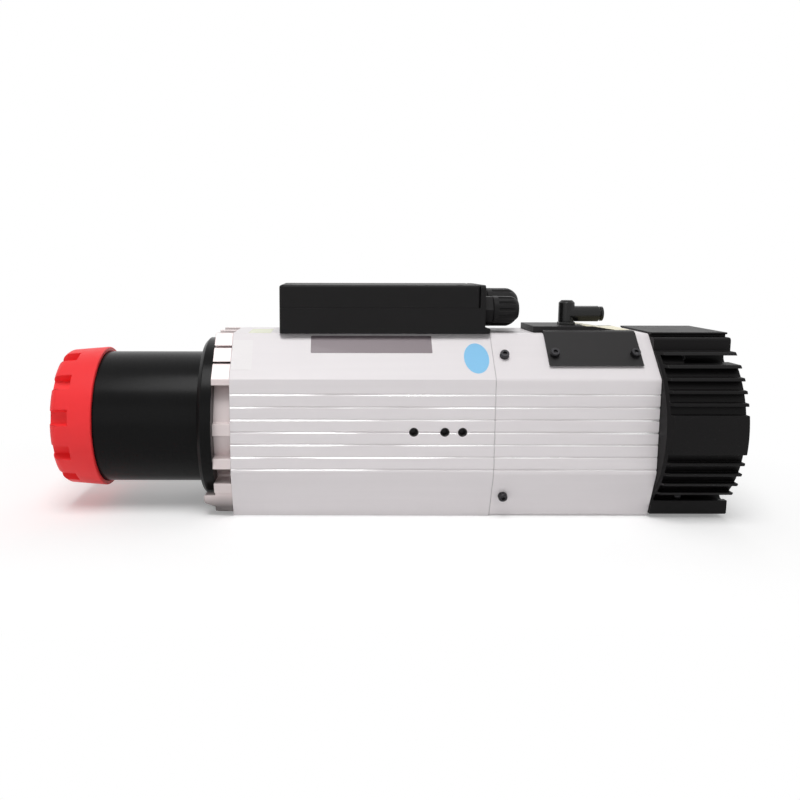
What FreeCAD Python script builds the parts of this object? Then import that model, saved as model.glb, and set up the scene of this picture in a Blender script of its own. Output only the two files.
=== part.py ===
import FreeCAD, Part
import math
import os

from FreeCAD import Rotation, Vector

# Air-cooled motor spindle with automatic tool change, lying along X.
# The nose points to -X, the fan to +X, +Z is up and the camera side is -Y.
# Pieces are drawn about the spindle axis; export lifts them by half the body height,
# so the exported origin is the middle of the mounting holes in the bottom face.
# All sizes are in millimetres.

# Eight-sided section shared by the motor shell, the rear shell and the front bracket
body_height = 140.0
stator_bore_radius = 48.0
side_wall = 9.2
top_flat_width = 54.2
bottom_flat_width = 87.2
top_chamfer_height = 31.7
bottom_chamfer_height = 36.7
shell_wall = 4.0
rear_bend_radius = 4.0

# Lengths along the axis
motor_shell_length = 197.6
bracket_length = 13.4
flange_thickness = 11.0
nose_length = 94.3
rear_shell_length = 122.0
fan_cover_length = 58.2

# Clearances
running_gap = 0.3
sliding_fit = 0.06
seat_gap = 0.05
ball_gap = 0.05

# Small chamfers, and how far joined shapes of one solid run into each other
edge_break = 1.0
join_overlap = 1.0

# Motor shell
bore_wall = 4.0
channel_rib = 5.0
solid_side_half_height = 33.0
groove_count = 7
groove_pitch = 9.5
groove_top_height = 27.0
groove_width = 1.2
groove_depth = 0.8
side_hole_positions = (38.3, 61.5, 74.7)
side_hole_height = -1.5
side_hole_radius = 2.5
side_hole_chamfer = 1.0
side_hole_floor = 1.2
mount_spacing_x = 120.0
mount_spacing_y = 60.0
mount_hole_radius = 3.4
mount_hole_depth = 16.0
mount_boss_width = 15.0
wire_hole_radius = 8.0
wire_hole_inset = 23.0

# Front bracket
bracket_tube_wall = 4.0
bracket_rib_bands = ((33.7, 48.4), (-4.5, 4.5), (-30.0, -22.0))
bracket_foot_band = (-50.0, -42.0)
bracket_corner_bands = ((50.0, 59.4), (61.0, 68.5))
bracket_top_rib_width = 7.0
lug_reach = 9.0
lug_width = 10.5
lug_outset = 3.4
lug_flange_gap = 0.5
lug_clearance = 4.0
lug_nose_share = 0.46
lug_rounding_share = 0.4

# Nose housing
flange_rim = 7.8
flange_bevel = 3.0
spigot_length = 20.0
spigot_wall = 6.0
bearing_shoulder = 5.0
shoulder_length = 14.0
flange_screw_radius = 2.0
flange_screw_wall = 8.2
flange_screw_head_room = 3.8
flange_screw_angles = (41.0, 139.0, -28.0, -152.0, -54.5, -125.5)
flange_screw_length = 26.0

# Cap screws, as shares of the thread radius
head_radius_ratio = 1.75
head_height_ratio = 2.0
socket_radius_ratio = 0.85
socket_depth_ratio = 1.0

# Front bearing pair and rear bearing
front_inner_radius = 25.0
nose_wall = 12.4
front_bearing_width = 16.0
front_spacer_length = 10.0
rear_inner_radius = 20.0
rear_outer_radius = 34.0
rear_bearing_width = 15.0
balls_per_bearing = 10
ball_share = 0.29
land_share = 0.665
groove_land_share = 0.83
groove_floor_share = 0.37
cage_half_thickness = 1.1
cage_half_width_share = 1.28

# Retaining ring in the nose
retainer_thread_height = 2.0
retainer_depth = 6.0
retainer_proud = 2.0
spanner_hole_radius = 2.5
spanner_hole_depth = 3.0
spanner_hole_phase = 45.0
labyrinth_gap = 0.4

# Spindle shaft
shaft_nose_radius = 30.0
shaft_nose_proud = 4.5
taper_mouth_radius = 15.875
taper_ratio = 7.0 / 24.0
taper_length = 46.0
gripper_bore_radius = 8.7
gripper_bore_length = 26.0
drawbar_guide_radius = 6.5
spring_chamber_radius = 15.0
spring_chamber_position = 0.0
rotor_seat_radius = 24.0
rear_shoulder_radius = 23.0
key_width = 15.9
key_depth = 7.0
key_proud = 5.0
key_inner_radius = 19.0
key_edge_margin = 1.5
shaft_end_margin = 2.0
front_locknut_radius = 33.0
front_locknut_length = 10.0
rear_locknut_radius = 29.0
rear_locknut_length = 9.0
locknut_slot = 5.0
locknut_slot_depth = 2.0
spacer_wall = 4.0
sensor_ring_radius = 30.0
sensor_ring_length = 8.0
sensor_notch_width = 4.0
sensor_notch_depth = 3.0

# Motor
stator_end_room = 38.8
stator_inner_radius = 31.2
stator_slot_count = 24
stator_slot_width = 3.4
stator_yoke = 6.8
winding_overhang = 22.0
winding_inner_step = 2.3
winding_outer_step = 2.0
winding_rounding_share = 0.3
rotor_air_gap = 0.6
end_ring_length = 8.0
end_ring_step = 1.0

# Drawbar, gripper and spring pack
drawbar_tail_radius = 8.0
drawbar_rod_radius = 6.4
drawbar_spigot_radius = 5.2
drawbar_tail_proud = 4.0
release_travel = 8.0
drawbar_travel_share = 0.75
release_clearance = 0.3
spring_count = 12
spring_pitch = 5.0
spring_thickness = 3.2
spring_clearance = 0.6
drawbar_nut_radius = 14.6
drawbar_nut_length = 20.0
gripper_radius = 8.4
gripper_lip_radius = 5.6
gripper_lip_length = 2.5
gripper_lip_slope = 1.5
gripper_hollow_radius = 6.8
gripper_slot = 1.6
gripper_slot_phase = 45.0
gripper_slot_margin = 2.0
gripper_tail_length = 8.0

# End shield behind the motor
shield_thickness = 20.0
shield_lip = 2.4
shield_spigot_length = 8.0
shield_tapping_depth = 8.0
rear_seat_step = 7.0

# Pneumatic cylinder
standoff_length = 31.0
standoff_radius = 4.5
cylinder_length = 48.0
cylinder_side_gap = 2.0
cylinder_wall = 8.0
cylinder_front_wall = 8.0
cylinder_cover_thickness = 10.0
air_groove_depth = 2.0
air_groove_reach = 6.0
cylinder_screw_radius = 2.5
cylinder_screw_grip = 14.0
piston_thickness = 16.0
piston_rod_radius = 12.0
seal_groove_depth = 3.0
seal_width = 3.6
return_spring_radius = 19.0
return_spring_thickness = 1.2
return_spring_count = 6
air_passage_radius = 2.0

# Tool sensors
sensor_radius = 4.0
sensor_head_room = 7.2
sensor_gap = 0.8
sensor_angles = (-32.0, 0.0, 32.0)
sensor_shelf_inset = 16.0
sensor_shelf_thickness = 3.0
sensor_shelf_length = 19.0
sensor_foot_radius = 37.0

# Seam screws of the rear shell
seam_screw_radius = 2.0
seam_screw_offset = 8.2
seam_screw_length = 13.0

# Fan cover
fan_cover_proud = 5.0
fan_fin_depth = 5.0
fan_duct_wall = 16.5
fan_cover_top_proud = 1.5
fan_cover_ground_clearance = 3.0
fan_panel_half_height = 14.6
fan_fin_pitch = 8.7
fan_fin_thickness = 2.4
fan_fin_count = 5
fan_front_wall = 2.0
fan_front_bevel = 4.0
fan_upper_block_outset = 12.0
fan_lower_block_outset = 6.0
fan_block_rounding = 2.5
fan_lip_outset = 5.9
fan_lip_thickness = 1.5
fan_lip_neck_height = 2.0
fan_lip_overhang = 3.0
fan_screw_radius = 2.5
fan_screw_setback = 19.7
fan_screw_top_inset = 9.5
fan_screw_bottom_inset = 8.4
fan_screw_grip = 12.0
fan_boss_radius = 5.6
fan_boss_length = 22.0

# Fan
guard_thickness = 3.0
guard_recess = 1.0
guard_ring_count = 4
guard_ring_width = 2.0
guard_spoke_width = 4.0
guard_spoke_count = 6
guard_rim_width = 5.0
fan_motor_radius = 22.0
fan_motor_length = 30.0
fan_axle_radius = 4.0
impeller_tip_gap = 2.5
impeller_hub_radius = 26.0
impeller_hub_wall = 2.4
impeller_setback = 6.0
impeller_length = 30.0
impeller_blade_count = 7
impeller_blade_thickness = 1.8
impeller_root_angle = 52.0
impeller_tip_angle = 66.0
impeller_chord_share = 0.92
impeller_root_share = 0.72
fan_motor_end_wall = 4.0

# Junction box
box_length = 157.0
box_half_width = 33.0
box_base_height = 19.5
box_height = 37.0
box_wall = 3.0
box_corner_radius = 3.0
box_top_rounding = 2.0
box_end_wall = 4.0
box_floor = 3.0
box_foot_length = 4.5
box_foot_gap = 0.5
gasket_width = 1.6
gasket_height = 1.2
box_screw_radius = 1.75
box_screw_inset = 7.0
box_screw_end_inset = 15.0
box_screw_length = 24.0
box_screw_well = 4.5
box_post_radius = 4.2
terminal_inset = 28.5
terminal_length = 60.0
terminal_width = 18.0
terminal_height = 12.0
terminal_ways = 6
terminal_wall = 1.4
terminal_spine = 4.0
terminal_floor = 4.0

# Cable glands, one value for each: power, signal
gland_height = 18.0
power_gland_offset = 14.8
power_gland_thread_radius = 12.5
power_gland_hex_radius = 16.0
power_gland_hex_length = 8.0
power_gland_nut_radius = 15.5
power_gland_nut_length = 25.5
power_gland_bore_radius = 8.0
signal_gland_offset = -17.8
signal_gland_thread_radius = 8.2
signal_gland_hex_radius = 11.4
signal_gland_hex_length = 7.0
signal_gland_nut_radius = 10.4
signal_gland_nut_length = 20.5
signal_gland_bore_radius = 4.6
gland_wall = 2.2
gland_throat_length = 6.0
gland_ring_length = 4.5
gland_cover_gap = 6.2
gland_thread_spare = 1.5
gland_edge = 0.8
gland_lip = 2.0
gland_flute_count = 12
gland_flute_depth = 1.2
gland_flute_radius_share = 0.16
gland_dome_share = 0.68
gland_shoulder_share = 0.66
gland_shoulder_radius_share = 0.84
gland_locknut_length = 4.5
gland_locknut_ratio = 1.2

# Access cover on the rear shell
cover_seam_distance = 40.9
cover_length = 70.1
cover_thickness = 2.2
cover_chamfer_share = 0.7
cover_pad_height = 2.8
cover_pad_half_width = 21.0
cover_pad_front = 6.0
cover_pad_length = 64.0
cover_pad_slope = 18.0
cover_screw_inset = 4.8
cover_screw_radius = 2.0
cover_screw_length = 10.0
cover_opening_inset = 8.0
cover_opening_half_width = 18.0

# Air fitting
fitting_inset = 25.3
stem_hex_radius = 7.2
stem_hex_height = 2.0
stem_thread_radius = 4.9
stem_thread_length = 9.0
stem_bore_radius = 2.2
elbow_radius = 6.25
elbow_height = 19.4
elbow_branch_height = 8.6
elbow_branch_length = 25.0
elbow_wall = 2.2
elbow_top_chamfer = 2.0
tube_radius = 3.05
tube_socket_length = 15.0
collar_sleeve_radius = 4.4
collar_flange_radius = 5.8
collar_flange_length = 2.0
collar_travel = 1.2
collar_sleeve_length = 4.0
inlet_block_width = 15.0
inlet_thread_depth = 10.0

# Protective cap over the nose
cap_length = 33.0
cap_wall = 3.3
cap_taper = 2.0
cap_grip_depth = 9.5
cap_grip_proud = 3.5
cap_front_wall = 3.0
cap_edge_radius = 7.0
cap_grip_draft = 1.5
cap_rim_edge = 0.8
cap_tooth_rounding = 2.0
cap_notch_count = 12
cap_notch_width = 9.4
cap_notch_flare = 10.0
cap_notch_length = 15.0
cap_notch_phase = 21.0
cap_rim_overlap = 14.5
cap_inner_gap = 2.5

# Stations along the axis worked out from the lengths above
axis_height = body_height / 2
body_width = 2 * (stator_bore_radius + side_wall)
side_hole_depth = side_wall - side_hole_floor
lug_outer_width = bottom_flat_width / 2 + lug_outset
lug_inner_width = lug_outer_width - lug_width
lug_bottom = lug_clearance - axis_height
lug_root = bracket_foot_band[1]
flange_screw_circle = stator_bore_radius + flange_screw_wall
flange_radius = flange_screw_circle + flange_rim
nose_radius = flange_screw_circle - flange_screw_head_room
lug_top = -math.sqrt(flange_radius ** 2 - lug_inner_width ** 2) - lug_flange_gap
lug_nose_bottom = lug_top - lug_nose_share * (lug_top - lug_bottom)
lug_rounding = lug_rounding_share * (lug_top - lug_nose_bottom)
cavity_radius = stator_bore_radius - spigot_wall
front_outer_radius = nose_radius - nose_wall
front_ball_radius = ball_share * (front_outer_radius - front_inner_radius)
rear_ball_radius = ball_share * (rear_outer_radius - rear_inner_radius)
retainer_radius = front_outer_radius + retainer_thread_height
spanner_hole_circle = (retainer_radius + shaft_nose_radius) / 2
stator_length = motor_shell_length - 2 * stator_end_room
stator_slot_depth = stator_bore_radius - stator_inner_radius - stator_yoke
winding_inner_radius = stator_inner_radius + winding_inner_step
winding_outer_radius = stator_bore_radius - winding_outer_step
winding_rounding = winding_rounding_share * (winding_outer_radius - winding_inner_radius)
rotor_radius = stator_inner_radius - rotor_air_gap
cylinder_radius = stator_bore_radius - cylinder_side_gap
cylinder_bore_radius = cylinder_radius - cylinder_wall
sensor_top = axis_height - shell_wall - sensor_head_room
sensor_shelf_radius = axis_height - shell_wall - sensor_shelf_inset - sensor_shelf_thickness
fan_cover_radius = axis_height + fan_cover_proud
fan_core_radius = fan_cover_radius - fan_fin_depth
fan_duct_radius = fan_core_radius - fan_duct_wall
fan_cover_top = axis_height + fan_cover_top_proud
fan_cover_bottom = fan_cover_ground_clearance - axis_height
fan_gap = fan_fin_pitch - fan_fin_thickness
fan_block_start = fan_panel_half_height + fan_fin_count * fan_fin_pitch
fan_screw_height = fan_block_start - fan_fin_thickness - fan_gap / 2
cap_rim_radius = nose_radius + running_gap + cap_wall
cap_front_radius = cap_rim_radius - cap_taper
cap_grip_inner_radius = cap_rim_radius - cap_grip_depth
shell_front = -motor_shell_length / 2
shell_rear = motor_shell_length / 2
bracket_front = shell_front - bracket_length
flange_front = bracket_front - flange_thickness
nose_front = flange_front - nose_length
rear_shell_end = shell_rear + rear_shell_length
fan_cover_end = rear_shell_end + fan_cover_length
front_bearing_front = nose_front + retainer_depth
front_bearing_rear = front_bearing_front + 2 * front_bearing_width + front_spacer_length
shaft_front = nose_front - shaft_nose_proud
front_locknut_end = front_bearing_rear + front_locknut_length
gripper_front = shaft_front + taper_length
gripper_end = gripper_front + gripper_bore_length
rear_bearing_front = shell_rear + shield_lip
rear_bearing_rear = rear_bearing_front + rear_bearing_width
rear_locknut_end = rear_bearing_rear + rear_locknut_length
sensor_ring_end = rear_locknut_end + sensor_ring_length
shaft_rear = sensor_ring_end + shaft_end_margin
spring_end = spring_chamber_position + spring_count * spring_pitch
drawbar_end = shaft_rear + drawbar_tail_proud
piston_front = drawbar_end + release_travel * (1 - drawbar_travel_share) + release_clearance
shield_rear = shell_rear + shield_thickness
cylinder_front = shield_rear + standoff_length
cylinder_rear = cylinder_front + cylinder_length
cylinder_cover_rear = cylinder_rear + cylinder_cover_thickness
piston_rear = cylinder_rear - running_gap
cylinder_wall_middle = (cylinder_radius + cylinder_bore_radius) / 2
cylinder_screw_offset = cylinder_wall_middle / math.sqrt(2)
cover_start = shell_rear + cover_seam_distance
fitting_position = cover_start + fitting_inset
power_gland_end = cover_start - cover_pad_front - gland_cover_gap
box_end = power_gland_end - power_gland_nut_length - power_gland_hex_length
box_front = box_end - box_length
wire_hole_position = box_end - wire_hole_inset
terminal_start = box_front + terminal_inset
box_foot_height = gland_height - power_gland_hex_radius * math.sqrt(3) / 2 - box_foot_gap
box_bottom = axis_height
box_parting = box_bottom + box_base_height
box_top = box_bottom + box_height
box_screw_seat = box_top - box_screw_well
cover_end = cover_start + cover_length
cover_top = axis_height + cover_thickness
pad_top = cover_top + cover_pad_height
guard_front = fan_cover_end - guard_recess - guard_thickness
fan_motor_front = guard_front - fan_motor_length
cap_inner_radius = nose_radius + running_gap
cap_rim = nose_front + cap_rim_overlap
cap_tip = cap_rim - cap_length
cap_front_face = cap_tip + cap_grip_proud


# Small shape helpers, all about the spindle axis

def block(x0, x1, y0, y1, z0, z1):
    """A box between two corners."""
    return Part.makeBox(x1 - x0, y1 - y0, z1 - z0, Vector(x0, y0, z0))


def rod(x0, x1, radius, y=0.0, z=0.0):
    """A round bar along X."""
    return Part.makeCylinder(radius, x1 - x0, Vector(x0, y, z), Vector(1, 0, 0))


def ring(x0, x1, inner, outer, y=0.0, z=0.0):
    """A round tube along X."""
    return rod(x0, x1, outer, y, z).cut(rod(x0, x1, inner, y, z))


def turned(profile):
    """A solid turned about the spindle axis from (x, radius) corners."""
    corners = [Vector(x, 0, radius) for x, radius in profile]
    wire = Part.makePolygon(corners + corners[:1])
    return Part.Face(wire).revolve(Vector(0, 0, 0), Vector(1, 0, 0), 360)


def turned_about_z(profile, x, y):
    """A solid turned about an upright axis from (radius, z) corners."""
    corners = [Vector(x + radius, y, z) for radius, z in profile]
    wire = Part.makePolygon(corners + corners[:1])
    return Part.Face(wire).revolve(Vector(x, y, 0), Vector(0, 0, 1), 360)


def fused(shapes):
    """One solid from shapes that overlap or touch."""
    result = shapes[0].fuse(shapes[1:]) if len(shapes) > 1 else shapes[0]
    return result.removeSplitter()


def grouped(shapes):
    """Separate solids kept side by side in one node."""
    return Part.makeCompound(shapes)


def about_axis(shape, angle):
    """A copy turned about the spindle axis by an angle in degrees."""
    copy = shape.copy()
    copy.rotate(Vector(0, 0, 0), Vector(1, 0, 0), angle)
    return copy


def repeated(shape, count, phase=0.0):
    """Copies of a shape set evenly round the spindle axis."""
    return [about_axis(shape, phase + 360.0 * index / count) for index in range(count)]


def hexagon(x0, x1, corner_radius, y=0.0, z=0.0):
    """A hexagonal bar along X."""
    corners = []
    sides = 6
    for step in range(sides):
        turn = 2 * math.pi * step / sides
        corners.append(Vector(x0, y + corner_radius * math.cos(turn), z + corner_radius * math.sin(turn)))
    return Part.Face(Part.makePolygon(corners + corners[:1])).extrude(Vector(x1 - x0, 0, 0))


def socket_screw(head_seat, direction, radius, length):
    """A hexagon-socket cap screw whose head sits on a point and whose shank runs along a direction."""
    head_radius = radius * head_radius_ratio
    head_height = radius * head_height_ratio
    head = Part.makeCylinder(head_radius, head_height, Vector(0, 0, 0), Vector(-1, 0, 0))
    shank = Part.makeCylinder(radius, length, Vector(0, 0, 0), Vector(1, 0, 0))
    socket_depth = radius * socket_depth_ratio
    socket = hexagon(-head_height, socket_depth - head_height, radius * socket_radius_ratio)
    screw = fused([head, shank]).cut(socket)
    screw.Placement = FreeCAD.Placement(head_seat, Rotation(Vector(1, 0, 0), direction))
    return screw


def section_corners(inset=0.0):
    """The eight corners of the body section, moved inwards by an inset, as (y, z) pairs."""
    half_top = top_flat_width / 2
    half_bottom = bottom_flat_width / 2
    half_width = body_width / 2
    half_height = body_height / 2
    outline = [
        (half_bottom, -half_height),
        (half_width, bottom_chamfer_height - half_height),
        (half_width, half_height - top_chamfer_height),
        (half_top, half_height),
        (-half_top, half_height),
        (-half_width, half_height - top_chamfer_height),
        (-half_width, bottom_chamfer_height - half_height),
        (-half_bottom, -half_height),
    ]
    if inset == 0.0:
        return outline
    lines = []
    for index, (y0, z0) in enumerate(outline):
        y1, z1 = outline[(index + 1) % len(outline)]
        length = math.hypot(y1 - y0, z1 - z0)
        normal = ((z1 - z0) / length, (y0 - y1) / length)
        lines.append((normal, normal[0] * y0 + normal[1] * z0 - inset))
    corners = []
    for index in range(len(lines)):
        (a, b), d = lines[index - 1]
        (e, f), g = lines[index]
        span = a * f - b * e
        corners.append(((d * f - b * g) / span, (a * g - d * e) / span))
    return corners


def section_bar(x0, x1, inset=0.0):
    """The body section drawn out along X."""
    corners = [Vector(x0, y, z) for y, z in section_corners(inset)]
    return Part.Face(Part.makePolygon(corners + corners[:1])).extrude(Vector(x1 - x0, 0, 0))


def rounded_bar(x0, x1, inset, radius):
    """The body section drawn out along X with its bends rounded."""
    bar = section_bar(x0, x1, inset)
    bends = [edge for edge in bar.Edges if edge.BoundBox.XLength > (x1 - x0) / 2]
    return bar.makeFillet(radius, bends)


def chamfer_point(share, upper, side):
    """A point on a chamfer and its outward normal; share runs from the flat face to the side."""
    half_height = body_height / 2
    half_width = body_width / 2
    half_flat = (top_flat_width if upper else bottom_flat_width) / 2
    drop = top_chamfer_height if upper else bottom_chamfer_height
    sign = 1 if upper else -1
    y = half_flat + share * (half_width - half_flat)
    z = sign * (half_height - share * drop)
    length = math.hypot(half_width - half_flat, drop)
    normal = Vector(0, side * drop / length, sign * (half_width - half_flat) / length)
    return Vector(0, side * y, z), normal


# Casing

def air_channels(x0, x1):
    """The cooling air passages between the bore wall and the outer skin."""
    inner = stator_bore_radius + bore_wall
    space = section_bar(x0, x1, shell_wall).cut(rod(x0, x1, inner))
    far = body_height
    ribs = [
        block(x0, x1, -far, far, -solid_side_half_height, solid_side_half_height),
        block(x0, x1, -channel_rib / 2, channel_rib / 2, -far, far),
    ]
    for side in (1, -1):
        middle = side * mount_spacing_y / 2
        ribs.append(block(x0, x1, middle - mount_boss_width / 2, middle + mount_boss_width / 2, -far, 0))
        corner = side * top_flat_width / 2
        ribs.append(block(x0, x1, corner - channel_rib / 2, corner + channel_rib / 2, 0, far))
    return space.cut(ribs)


def side_grooves(x0, x1):
    """The shallow grooves along both flat sides."""
    cuts = []
    for index in range(groove_count):
        z = groove_top_height - index * groove_pitch
        for side in (1, -1):
            face = side * body_width / 2
            y0 = min(face, face - side * groove_depth)
            y1 = max(face, face - side * groove_depth)
            cuts.append(block(x0, x1, y0, y1, z - groove_width / 2, z + groove_width / 2))
    return cuts


def side_hole(x):
    """A tapped hole in the camera side, countersunk from the floor of its groove."""
    inward = Vector(0, 1, 0)
    face = Vector(x, -body_width / 2, side_hole_height)
    floor = face + inward * groove_depth
    mouth_radius = side_hole_radius + side_hole_chamfer
    hole = Part.makeCylinder(side_hole_radius, side_hole_depth, face, inward)
    spot_face = Part.makeCylinder(mouth_radius, groove_depth, face, inward)
    countersink = Part.makeCone(mouth_radius, side_hole_radius, side_hole_chamfer, floor, inward)
    return fused([hole, spot_face, countersink])


def motor_shell():
    """The extruded motor casing with its bore, air passages, grooves and tapped holes."""
    shell = section_bar(shell_front, shell_rear)
    cuts = [rod(shell_front, shell_rear, stator_bore_radius), air_channels(shell_front, shell_rear)]
    cuts += side_grooves(shell_front, shell_rear)
    cuts += [side_hole(x) for x in side_hole_positions]
    for x in (-mount_spacing_x / 2, mount_spacing_x / 2):
        for y in (-mount_spacing_y / 2, mount_spacing_y / 2):
            start = Vector(x, y, -axis_height)
            cuts.append(Part.makeCylinder(mount_hole_radius, mount_hole_depth, start))
    wire_start = Vector(wire_hole_position, 0, 0)
    cuts.append(Part.makeCylinder(wire_hole_radius, axis_height, wire_start, Vector(0, 0, 1)))
    cuts += [flange_screw_hole(angle) for angle in flange_screw_angles]
    return shell.cut(cuts)


def flange_screw_seat(angle):
    """The point where a flange screw head sits."""
    turn = math.radians(angle)
    seat = flange_front + flange_screw_radius * head_height_ratio
    return Vector(seat, flange_screw_circle * math.cos(turn), flange_screw_circle * math.sin(turn))


def flange_screw_hole(angle):
    """The hole of one flange screw through the flange, the bracket and into the shell."""
    seat = flange_screw_seat(angle)
    head = rod(flange_front, seat.x, flange_screw_radius * head_radius_ratio + seat_gap, seat.y, seat.z)
    shank = rod(seat.x, seat.x + flange_screw_length, flange_screw_radius, seat.y, seat.z)
    return head.fuse(shank)


def flange_screws():
    """The screws that hold the nose housing and the bracket to the shell."""
    screws = []
    for angle in flange_screw_angles:
        seat = flange_screw_seat(angle)
        screws.append(socket_screw(seat, Vector(1, 0, 0), flange_screw_radius, flange_screw_length))
    return grouped(screws)


def front_bracket():
    """The ribbed ring between the flange and the shell, open between its ribs for the cooling air."""
    x0 = bracket_front
    x1 = shell_front
    envelope = section_bar(x0, x1)
    tube_radius_outer = stator_bore_radius + bracket_tube_wall
    half = body_width / 2
    bands = bracket_rib_bands + (bracket_foot_band,)
    ribs = [block(x0, x1, -half, half, low, high) for low, high in bands]
    width = bracket_top_rib_width
    ribs.append(block(x0, x1, -width / 2, width / 2, -axis_height, axis_height))
    inner = (top_flat_width - channel_rib) / 2
    for side in (1, -1):
        middle = side * mount_spacing_y / 2
        ribs.append(block(x0, x1, middle - width / 2, middle + width / 2, -axis_height, 0))
        corner = side * top_flat_width / 2
        ribs.append(block(x0, x1, corner - channel_rib / 2, corner + channel_rib / 2, 0, axis_height))
        y0, y1 = sorted((side * inner, side * half))
        ribs += [block(x0, x1, y0, y1, low, high) for low, high in bracket_corner_bands]
    web = fused([rod(x0, x1, tube_radius_outer)] + ribs)
    body = envelope.common(web)
    lugs = [bracket_lug(side) for side in (1, -1)] + [lug_web(side).common(envelope) for side in (1, -1)]
    bore = rod(x0, x1, stator_bore_radius)
    holes = [flange_screw_hole(angle) for angle in flange_screw_angles]
    return fused([body] + lugs).cut([bore] + holes)


def lug_sides(side):
    """The lug's near and far faces on one side."""
    if side > 0:
        return lug_inner_width, lug_outer_width
    return -lug_outer_width, -lug_inner_width


def lug_web(side):
    """The web that joins a lug to the rib above it."""
    y0, y1 = lug_sides(side)
    return block(bracket_front, shell_front, y0, y1, lug_bottom, lug_root)


def bracket_lug(side):
    """A rounded corner lug that reaches forward under the flange, its underside rising to its nose."""
    y0, y1 = lug_sides(side)
    nose = bracket_front - lug_reach
    corners = [
        Vector(nose, y0, lug_nose_bottom),
        Vector(nose, y0, lug_top),
        Vector(shell_front, y0, lug_top),
        Vector(shell_front, y0, lug_bottom),
    ]
    lug = Part.Face(Part.makePolygon(corners + corners[:1])).extrude(Vector(0, y1 - y0, 0))
    front = [edge for edge in lug.Edges if edge.BoundBox.XMax < bracket_front]
    return lug.makeFillet(lug_rounding, front)


def nose_housing():
    """The turned nose with its flange, bearing seat and spigot."""
    spigot_radius = stator_bore_radius - seat_gap
    seat_end = front_bearing_rear
    profile = [
        (nose_front, retainer_radius),
        (nose_front, nose_radius - edge_break),
        (nose_front + edge_break, nose_radius),
        (flange_front, nose_radius),
        (flange_front, flange_radius - flange_bevel),
        (flange_front + flange_bevel, flange_radius),
        (bracket_front, flange_radius),
        (bracket_front, spigot_radius),
        (bracket_front + spigot_length, spigot_radius),
        (bracket_front + spigot_length, cavity_radius),
        (seat_end + shoulder_length, cavity_radius),
        (seat_end + shoulder_length, front_outer_radius - bearing_shoulder),
        (seat_end, front_outer_radius - bearing_shoulder),
        (seat_end, front_outer_radius),
        (front_bearing_front, front_outer_radius),
        (front_bearing_front, retainer_radius),
    ]
    return turned(profile).cut([flange_screw_hole(angle) for angle in flange_screw_angles])


def bearing_retainer():
    """The threaded ring that clamps the front bearings and seals the shaft with a narrow gap."""
    bore = shaft_nose_radius + labyrinth_gap
    body = ring(nose_front - retainer_proud, front_bearing_front, bore, retainer_radius - seat_gap)
    front = nose_front - retainer_proud
    hole = rod(front, front + spanner_hole_depth, spanner_hole_radius, spanner_hole_circle)
    return body.cut(repeated(hole, 4, spanner_hole_phase))


def end_shield():
    """The plate behind the motor that holds the rear bearing and carries the rear shell."""
    body = section_bar(shell_rear, shield_rear, shell_wall)
    spigot = rod(shell_rear - shield_spigot_length, shell_rear, stator_bore_radius - seat_gap)
    bore = rod(rear_bearing_front, shield_rear, rear_outer_radius)
    way_through = rod(shell_rear - shield_spigot_length, shield_rear, rear_outer_radius - rear_seat_step)
    cuts = [bore, way_through, air_channels(shell_rear, shield_rear)]
    cuts += seam_screw_shanks(seam_screw_radius)
    for y, z in four_corners():
        cuts.append(rod(shield_rear - shield_tapping_depth, shield_rear, cylinder_screw_radius, y, z))
    return fused([body, spigot]).cut(cuts)


def seam_screw_seats():
    """Head seats and inward directions of the four screws beside the seam."""
    seats = []
    for upper in (True, False):
        for side in (1, -1):
            point, normal = chamfer_point(0.5, upper, side)
            point.x = shell_rear + seam_screw_offset
            seats.append((point, normal.negative()))
    return seats


def seam_screw_shanks(radius):
    """Cylinders to cut the seam screws' holes with."""
    length = seam_screw_length
    return [Part.makeCylinder(radius, length, seat, inward) for seat, inward in seam_screw_seats()]


def rear_shell():
    """The rear casing over the pneumatic cylinder, with an access opening in its top."""
    outside = rounded_bar(shell_rear, rear_shell_end, 0.0, rear_bend_radius)
    inside = section_bar(shell_rear, rear_shell_end, shell_wall)
    bosses = []
    for y, z in fan_screw_places():
        bosses.append(rod(rear_shell_end - fan_boss_length, rear_shell_end, fan_boss_radius, y, z))
    bosses = grouped(bosses).common(outside)
    shell = fused([outside.cut(inside)] + bosses.Solids)
    cuts = side_grooves(shell_rear, rear_shell_end)
    cuts += seam_screw_shanks(seam_screw_radius)
    cuts += cover_screw_shanks(cover_screw_radius)
    opening_front = cover_start + cover_opening_inset
    opening_end = cover_end - cover_opening_inset
    half = cover_opening_half_width
    cuts.append(block(opening_front, opening_end, -half, half, 0, axis_height))
    for y, z in fan_screw_places():
        cuts.append(rod(rear_shell_end - fan_screw_grip, rear_shell_end, fan_screw_radius, y, z))
    return shell.cut(cuts)


def rear_shell_screws():
    """Four socket screws beside the seam."""
    screws = []
    for seat, inward in seam_screw_seats():
        screws.append(socket_screw(seat, inward, seam_screw_radius, seam_screw_length))
    return grouped(screws)


# Motor

def stator_core():
    """The slotted stator stack."""
    half = stator_length / 2
    core = ring(-half, half, stator_inner_radius, stator_bore_radius)
    width = stator_slot_width / 2
    slot = block(-half, half, -width, width, 0, stator_inner_radius + stator_slot_depth)
    return core.cut(repeated(slot, stator_slot_count))


def stator_windings():
    """The bound end turns at both ends of the stator."""
    half = stator_length / 2
    turns = []
    for side in (1, -1):
        near = side * half
        far = side * (half + winding_overhang)
        soft = side * (half + winding_overhang - winding_rounding)
        profile = [
            (near, winding_inner_radius),
            (near, winding_outer_radius),
            (soft, winding_outer_radius),
            (far, winding_outer_radius - winding_rounding),
            (far, winding_inner_radius + winding_rounding),
            (soft, winding_inner_radius),
        ]
        turns.append(turned(profile))
    return grouped(turns)


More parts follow.
